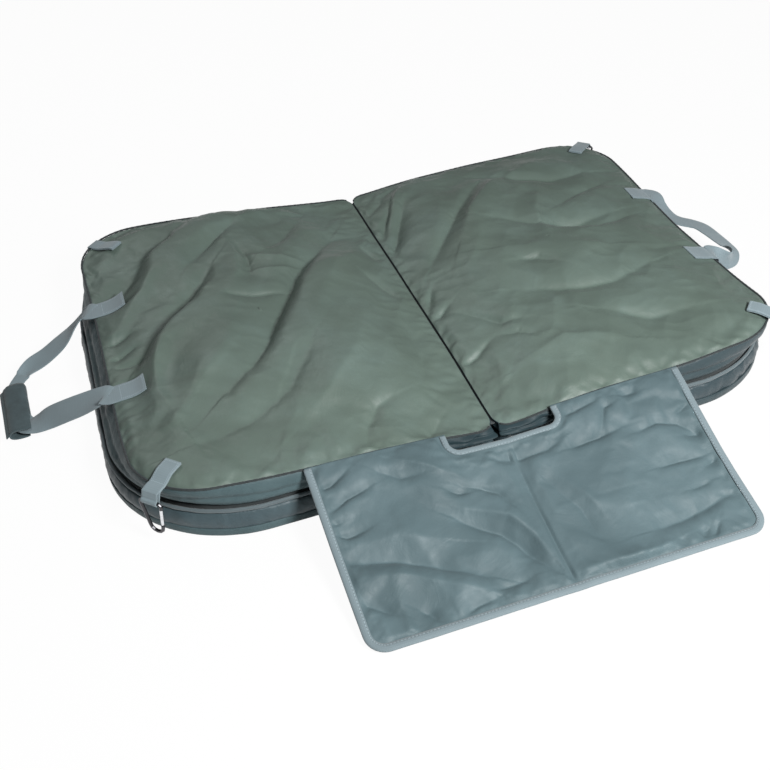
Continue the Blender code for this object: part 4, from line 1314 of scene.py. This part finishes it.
def pad_height(x, y, side):
    """Height of a finished pad under a world spot, found on its own mesh."""
    hit, place, _, _ = PADS[side].ray_cast(Vector((x, y, 0.3)), Vector((0, 0, -1)))
    return place.z if hit else SEAM_HEIGHT - seam_dip(abs(x))


def lying(spot, half_across, side):
    """Height of the middle of webbing that lies across a spot of the pad."""
    edges = [spot + half_across * share for share in (-1, -0.5, 0, 0.5, 1)]
    top = max(pad_height(edge.x, edge.y, side) for edge in edges)
    return top + 0.0002 + WEBBING_THICKNESS / 2


def settle(heights):
    """Smooth a run of heights without letting any sink."""
    made = list(heights)
    for _ in range(3):
        rows = zip([made[0]] + made, made, made[1:] + [made[-1]])
        made = [max(here, (before + here + after) / 3) for before, here, after in rows]
    return made


def sewn_run(side, middle):
    """Webbing lying on the pad, from its sewn tip out to the edge."""
    half_across = Vector((0, HANDLE_WEBBING / 2, 0))
    path = []
    for i in range(SEWN_STEPS):
        out = SEWN_END_X - SEWN_LENGTH[side] * (1 - i / (SEWN_STEPS - 1))
        path.append(Vector((side * out, middle, 0)))
    heights = [lying(spot, half_across, side) for spot in path]
    heights[-2:] = [max(height, SEWN_END_HEIGHT) for height in heights[-2:]]
    for spot, height in zip(path, settle(heights)):
        spot.z = height
    return path


def dress_handle(side):
    """One length of webbing: sewn down at both ends, loose between them."""
    route, back, front = HANDLES[side]
    start, finish = sewn_run(side, back), sewn_run(side, front)[::-1]
    first = Vector((0, -side, 0))
    last = -first
    loose = [Vector(row[:3]) / MM for row in route]
    ways = [Vector(row[3:6]) for row in route]
    shares = [row[6] for row in route]
    curves = []
    for before, middle, after in (
        ([start[-2], start[-1]], loose, [finish[0], finish[1]]),
        ([first, first], ways, [last, last]),
        ([1, 1], shares, [1, 1]),
    ):
        curve = smooth_run(before + middle + after, LOOSE_STEPS)
        curves.append(curve[LOOSE_STEPS:-LOOSE_STEPS])
    bent, turned, wide = curves
    sewn_in, sewn_out = len(start) - 1, len(finish) - 1
    path = start[:-1] + bent + finish[1:]
    across = [first] * sewn_in + [way.normalized() for way in turned] + [last] * sewn_out
    widths = [HANDLE_WEBBING * share for share in [1] * sewn_in + wide + [1] * sewn_out]
    name = SIDE_NAME[side]
    piece = webbing(name + "_handle_webbing", path, across, widths)
    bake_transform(piece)
    name += "_handle"
    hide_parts(name + "_strap", name + "_back_end", name + "_front_end")
    return piece


TAB_SEWN = 0.045
TAB_STEPS = 10
TAB_REACH = 0.015


def dress_tab(side, end, node, wire):
    """A short webbing doubled over a ring's wire and sewn to a corner of the pad."""
    centre = Vector((side * (HALF_LENGTH - TOP_CORNER), end * (MAT_DEPTH / 2 - TOP_CORNER), 0))
    out = Vector((side * math.sqrt(0.5), end * math.sqrt(0.5), 0))
    along = Vector((-out.y, out.x, 0))
    seam_point = centre + out * TOP_CORNER
    half = WEBBING_THICKNESS / 2
    eye = wire / 2 + 0.0004 + half
    lifted = seam_lift(seam_point.x, seam_point.y) + drawn_corner(seam_point.x, seam_point.y).z
    piped = PIPING_HEIGHT + PIPING_RADIUS + 0.0003 + half + lifted
    reaches = [-TAB_SEWN * (1 - i / TAB_STEPS) for i in range(TAB_STEPS)]
    heights = settle([lying(seam_point + out * x, along * TAB_WEBBING / 2, side) for x in reaches])
    heights = settle(heights + [max(heights[-1], piped), piped])
    lower = list(zip(reaches + [-PIPING_OUTSET, PIPING_OUTSET], heights))
    upper = [(reach, height + WEBBING_THICKNESS + 0.0003) for reach, height in lower]
    lower.append((PIPING_OUTSET + PIPING_RADIUS + WEBBING_THICKNESS, piped - half))
    upper.append((TAB_REACH - eye * 0.9, upper[-1][1] - half))
    bend = []
    for i in range(13):
        angle = (1.05 - 3.0 * i / 12) * math.pi / 2
        height = SEAM_HEIGHT - PIPING_RADIUS / 2 + eye * math.sin(angle)
        bend.append((TAB_REACH + eye * math.cos(angle), height))
    run = upper + bend + lower[::-1]
    path = [seam_point + out * reach + Vector((0, 0, height)) for reach, height in run]
    piece = webbing(node + "_webbing", path, [along] * len(path), [TAB_WEBBING] * len(path))
    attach(piece, SIDE_NAME[side] + "_half")
    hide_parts(node)


# --- grip wrap

GRIP_X = -0.6485
GRIP_TOP_Y = 0.0800
GRIP_FOOT_Y = -0.0430
GRIP_LENGTH = GRIP_TOP_Y - GRIP_FOOT_Y
GRIP_OPEN_Y = -0.0120
GRIP_LOW = 0.0152
GRIP_HALF_WIDTH = 0.0170
GRIP_HALF_HEIGHT = 0.0078


def grip_lean(share):
    """How far the grip leans toward the mat, from its foot at 0 to its top at 1."""
    return 0.0040 - 0.0050 * share


def blunt(value, power):
    """A sine or cosine that makes a squarer ring than a circle."""
    return math.copysign(abs(value) ** power, value)


def dress_grip_sleeve():
    """The padded sleeve round the webbing, open toward the front leg."""
    bm = new_grid(56, 40)
    for corner in bm.verts:
        share = corner.co.x + 0.5
        angle = (corner.co.y + 0.5) * math.tau
        y = GRIP_FOOT_Y + GRIP_LENGTH * share
        end = eased((1 - share) / 0.06)
        mouth = 1 - eased(share / 0.30)
        lump = 0.0012 * quiet_noise(angle * 0.02, y, 0.024, 30)
        wide = GRIP_HALF_WIDTH * (0.90 + 0.10 * end + 0.05 * mouth) + lump
        high = GRIP_HALF_HEIGHT * (0.72 + 0.28 * end + 0.10 * mouth) + lump
        x = GRIP_X + grip_lean(share) + wide * blunt(math.cos(angle), 0.7) - 0.0015 * mouth
        corner.co = Vector((x, y, GRIP_LOW + high * blunt(math.sin(angle), 0.85)))
    bmesh.ops.remove_doubles(bm, verts=bm.verts, dist=1e-6)
    open_x = GRIP_X + grip_lean(0) + GRIP_HALF_WIDTH * 0.58
    centres = {face: face.calc_center_median() for face in bm.faces}
    opened = [face for face, spot in centres.items() if spot.y < GRIP_OPEN_Y and spot.x > open_x]
    bmesh.ops.delete(bm, geom=opened, context="FACES")
    bmesh.ops.recalc_face_normals(bm, faces=bm.faces)
    piece = new_object(bm, "grip_sleeve", "grip_cloth", GRIP)
    add_wall(piece, 0.0024, offset=-1)
    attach(piece, "left_handle")
    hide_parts("grip_wrap")


FLAT_SHARE = 0.78


def dress_grip_flap():
    """The grip's closing flap, bent over the sleeve, with a loose edge."""
    bm = new_grid(26, 40)
    for corner in bm.verts:
        share = 0.5 - corner.co.x
        along = corner.co.y
        lift = 0.0010 * quiet_noise(share * 0.05, along * 0.13, 0.03, 31) * share
        angle = math.radians(40 + 123 * min(share / FLAT_SHARE, 1.0))
        loose = max(share - FLAT_SHARE, 0) / (1 - FLAT_SHARE)
        x = GRIP_X + grip_lean(along + 0.5)
        x += (GRIP_HALF_WIDTH + 0.0012) * blunt(math.cos(angle), 0.7)
        y = (GRIP_TOP_Y + GRIP_FOOT_Y) / 2 - 0.004 - 0.004 * share + GRIP_LENGTH * 0.93 * along
        z = GRIP_LOW + (GRIP_HALF_HEIGHT + 0.0022) * blunt(math.sin(angle), 0.85)
        corner.co = Vector((x - 0.0060 * loose, y, z - 0.0035 * loose + lift))
    bmesh.ops.recalc_face_normals(bm, faces=bm.faces)
    flap = new_object(bm, "grip_closing_flap", "grip_cloth", GRIP)
    add_wall(flap, 0.0018, rounding=0.0006)
    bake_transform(flap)
    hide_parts("grip_flap")


# --- everything in its place

ROUND_A_HALF = (dress_piping, dress_rim, dress_tray, dress_band, dress_handle)

PADS = {side: dress_pad(side) for side in (-1, 1)}
bpy.context.view_layer.update()
sewn = {side: [dress(side) for dress in ROUND_A_HALF] for side in (-1, 1)}
right_side = sewn[1] + [
    dress_slab(1, "right_lower_foam", "foam", 0.0110, 0.0020, 0.0450),
    dress_slab(1, "right_base_sheet", "base_sheet", 0.0003, 0.0, 0.0015),
    PADS[1],
]
dress_fold_web()
dress_flap()
dress_binding(
    "flap_edge_tape", ["flap_left_binding", "flap_right_binding"],
    FLAP_WIDTH / 2, FLAP_LENGTH, FLAP_CORNER, TAPE_WIDTH, -1, 360,
)
dress_binding(
    "notch_edge_tape", ["notch_left_binding", "notch_right_binding"],
    NOTCH_WIDTH / 2, NOTCH_DEPTH, NOTCH_CORNER, NOTCH_TAPE_WIDTH, 1, 140,
)
for side, end, node, wire in (
    (-1, -1, "front_left_tab", 0.0050), (-1, 1, "back_left_tab", 0.0040),
    (1, -1, "front_right_tab", 0.0040), (1, 1, "back_right_tab", 0.0040),
):
    dress_tab(side, end, node, wire)
dress_grip_sleeve()
dress_grip_flap()
for piece in right_side:
    draw_right_side(piece)

NODE_FINISH = {
    "carabiner_body": GUNMETAL,
    "carabiner_gate": BRIGHT,
    "front_right_ring": BLACK,
    "back_left_ring": BLACK,
    "back_right_ring": BLACK,
    "left_lower_foam": LINING_AND_GROOVE_SHADE,
    "left_base_sheet": LINING_AND_GROOVE_SHADE,
}
for node, finish in NODE_FINISH.items():
    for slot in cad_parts[node].material_slots:
        slot.material = finish


# --- floor, light and camera


def pale_floor():
    """Plain pale surface that the camera sees as almost white, keeping its shadow."""
    made = bpy.data.materials.new("floor_white")
    made.use_nodes = True
    graph = Graph(made.node_tree)
    graph.tree.nodes.clear()
    path = graph.node("ShaderNodeLightPath").outputs
    seen = graph.math("MAXIMUM", path["Is Camera Ray"], path["Is Glossy Ray"])
    matte = graph.node("ShaderNodeBsdfDiffuse", Color=(0.80, 0.80, 0.80))
    glow = graph.node("ShaderNodeEmission", Strength=1.0)
    mix = graph.node("ShaderNodeMixShader", Fac=graph.math("MULTIPLY", seen, 0.96))
    graph.link(matte.outputs[0], mix.inputs[1])
    graph.link(glow.outputs[0], mix.inputs[2])
    graph.node("ShaderNodeOutputMaterial", Surface=mix.outputs[0])
    return made


def make_stage():
    bm = new_grid(1, 1, 6.0)
    data = bpy.data.meshes.new("floor")
    bm.to_mesh(data)
    bm.free()
    floor = bpy.data.objects.new("floor", data)
    floor.location.z = -0.0005
    data.materials.append(pale_floor())
    bpy.context.scene.collection.objects.link(floor)
    world = bpy.data.worlds.new("studio")
    bpy.context.scene.world = world
    world.use_nodes = True
    graph = Graph(world.node_tree)
    seen = graph.node("ShaderNodeLightPath").outputs["Is Camera Ray"]
    back = graph.tree.nodes["Background"].inputs
    graph.feed(back["Strength"], graph.math("MULTIPLY_ADD", seen, 0.88, 0.12))
    graph.feed(back["Color"], (1, 1, 1))


def lamp(name, place, aim, size, power):
    data = bpy.data.lights.new(name, "AREA")
    data.shape = "RECTANGLE"
    data.size, data.size_y = size
    data.energy = power
    lit = bpy.data.objects.new(name, data)
    lit.location = place
    lit.rotation_euler = (Vector(aim) - Vector(place)).to_track_quat("-Z", "Y").to_euler()
    bpy.context.scene.collection.objects.link(lit)


AZIMUTH, ELEVATION, ROLL = (math.radians(angle) for angle in (-16.149, 39.600, -4.272))
AIM = Vector((-0.0949, -0.1290, 0))
DISTANCE = 1.6104
LENS = 47.84


def make_camera():
    back = Vector((
        math.sin(AZIMUTH) * math.cos(ELEVATION),
        -math.cos(AZIMUTH) * math.cos(ELEVATION),
        math.sin(ELEVATION),
    ))
    right = (-back).cross(Vector((0, 0, 1))).normalized()
    up = right.cross(-back)
    turned_right = right * math.cos(ROLL) + up * math.sin(ROLL)
    turned_up = up * math.cos(ROLL) - right * math.sin(ROLL)
    rotation = Matrix((turned_right, turned_up, back)).transposed()
    data = bpy.data.cameras.new("view")
    data.sensor_width = 36.0
    data.lens = LENS
    data.clip_start = 0.05
    camera = bpy.data.objects.new("view", data)
    camera.matrix_world = Matrix.Translation(AIM + back * DISTANCE) @ rotation.to_4x4()
    bpy.context.scene.collection.objects.link(camera)
    bpy.context.scene.camera = camera


make_stage()
lamp("key", (0.40, -1.47, 1.30), (0, 0, 0.05), (0.45, 0.45), 51)
lamp("fill", (-0.6, 1.4, 1.7), (0, 0, 0), (1.0, 1.0), 9)
make_camera()
bpy.context.scene.view_settings.view_transform = "Standard"
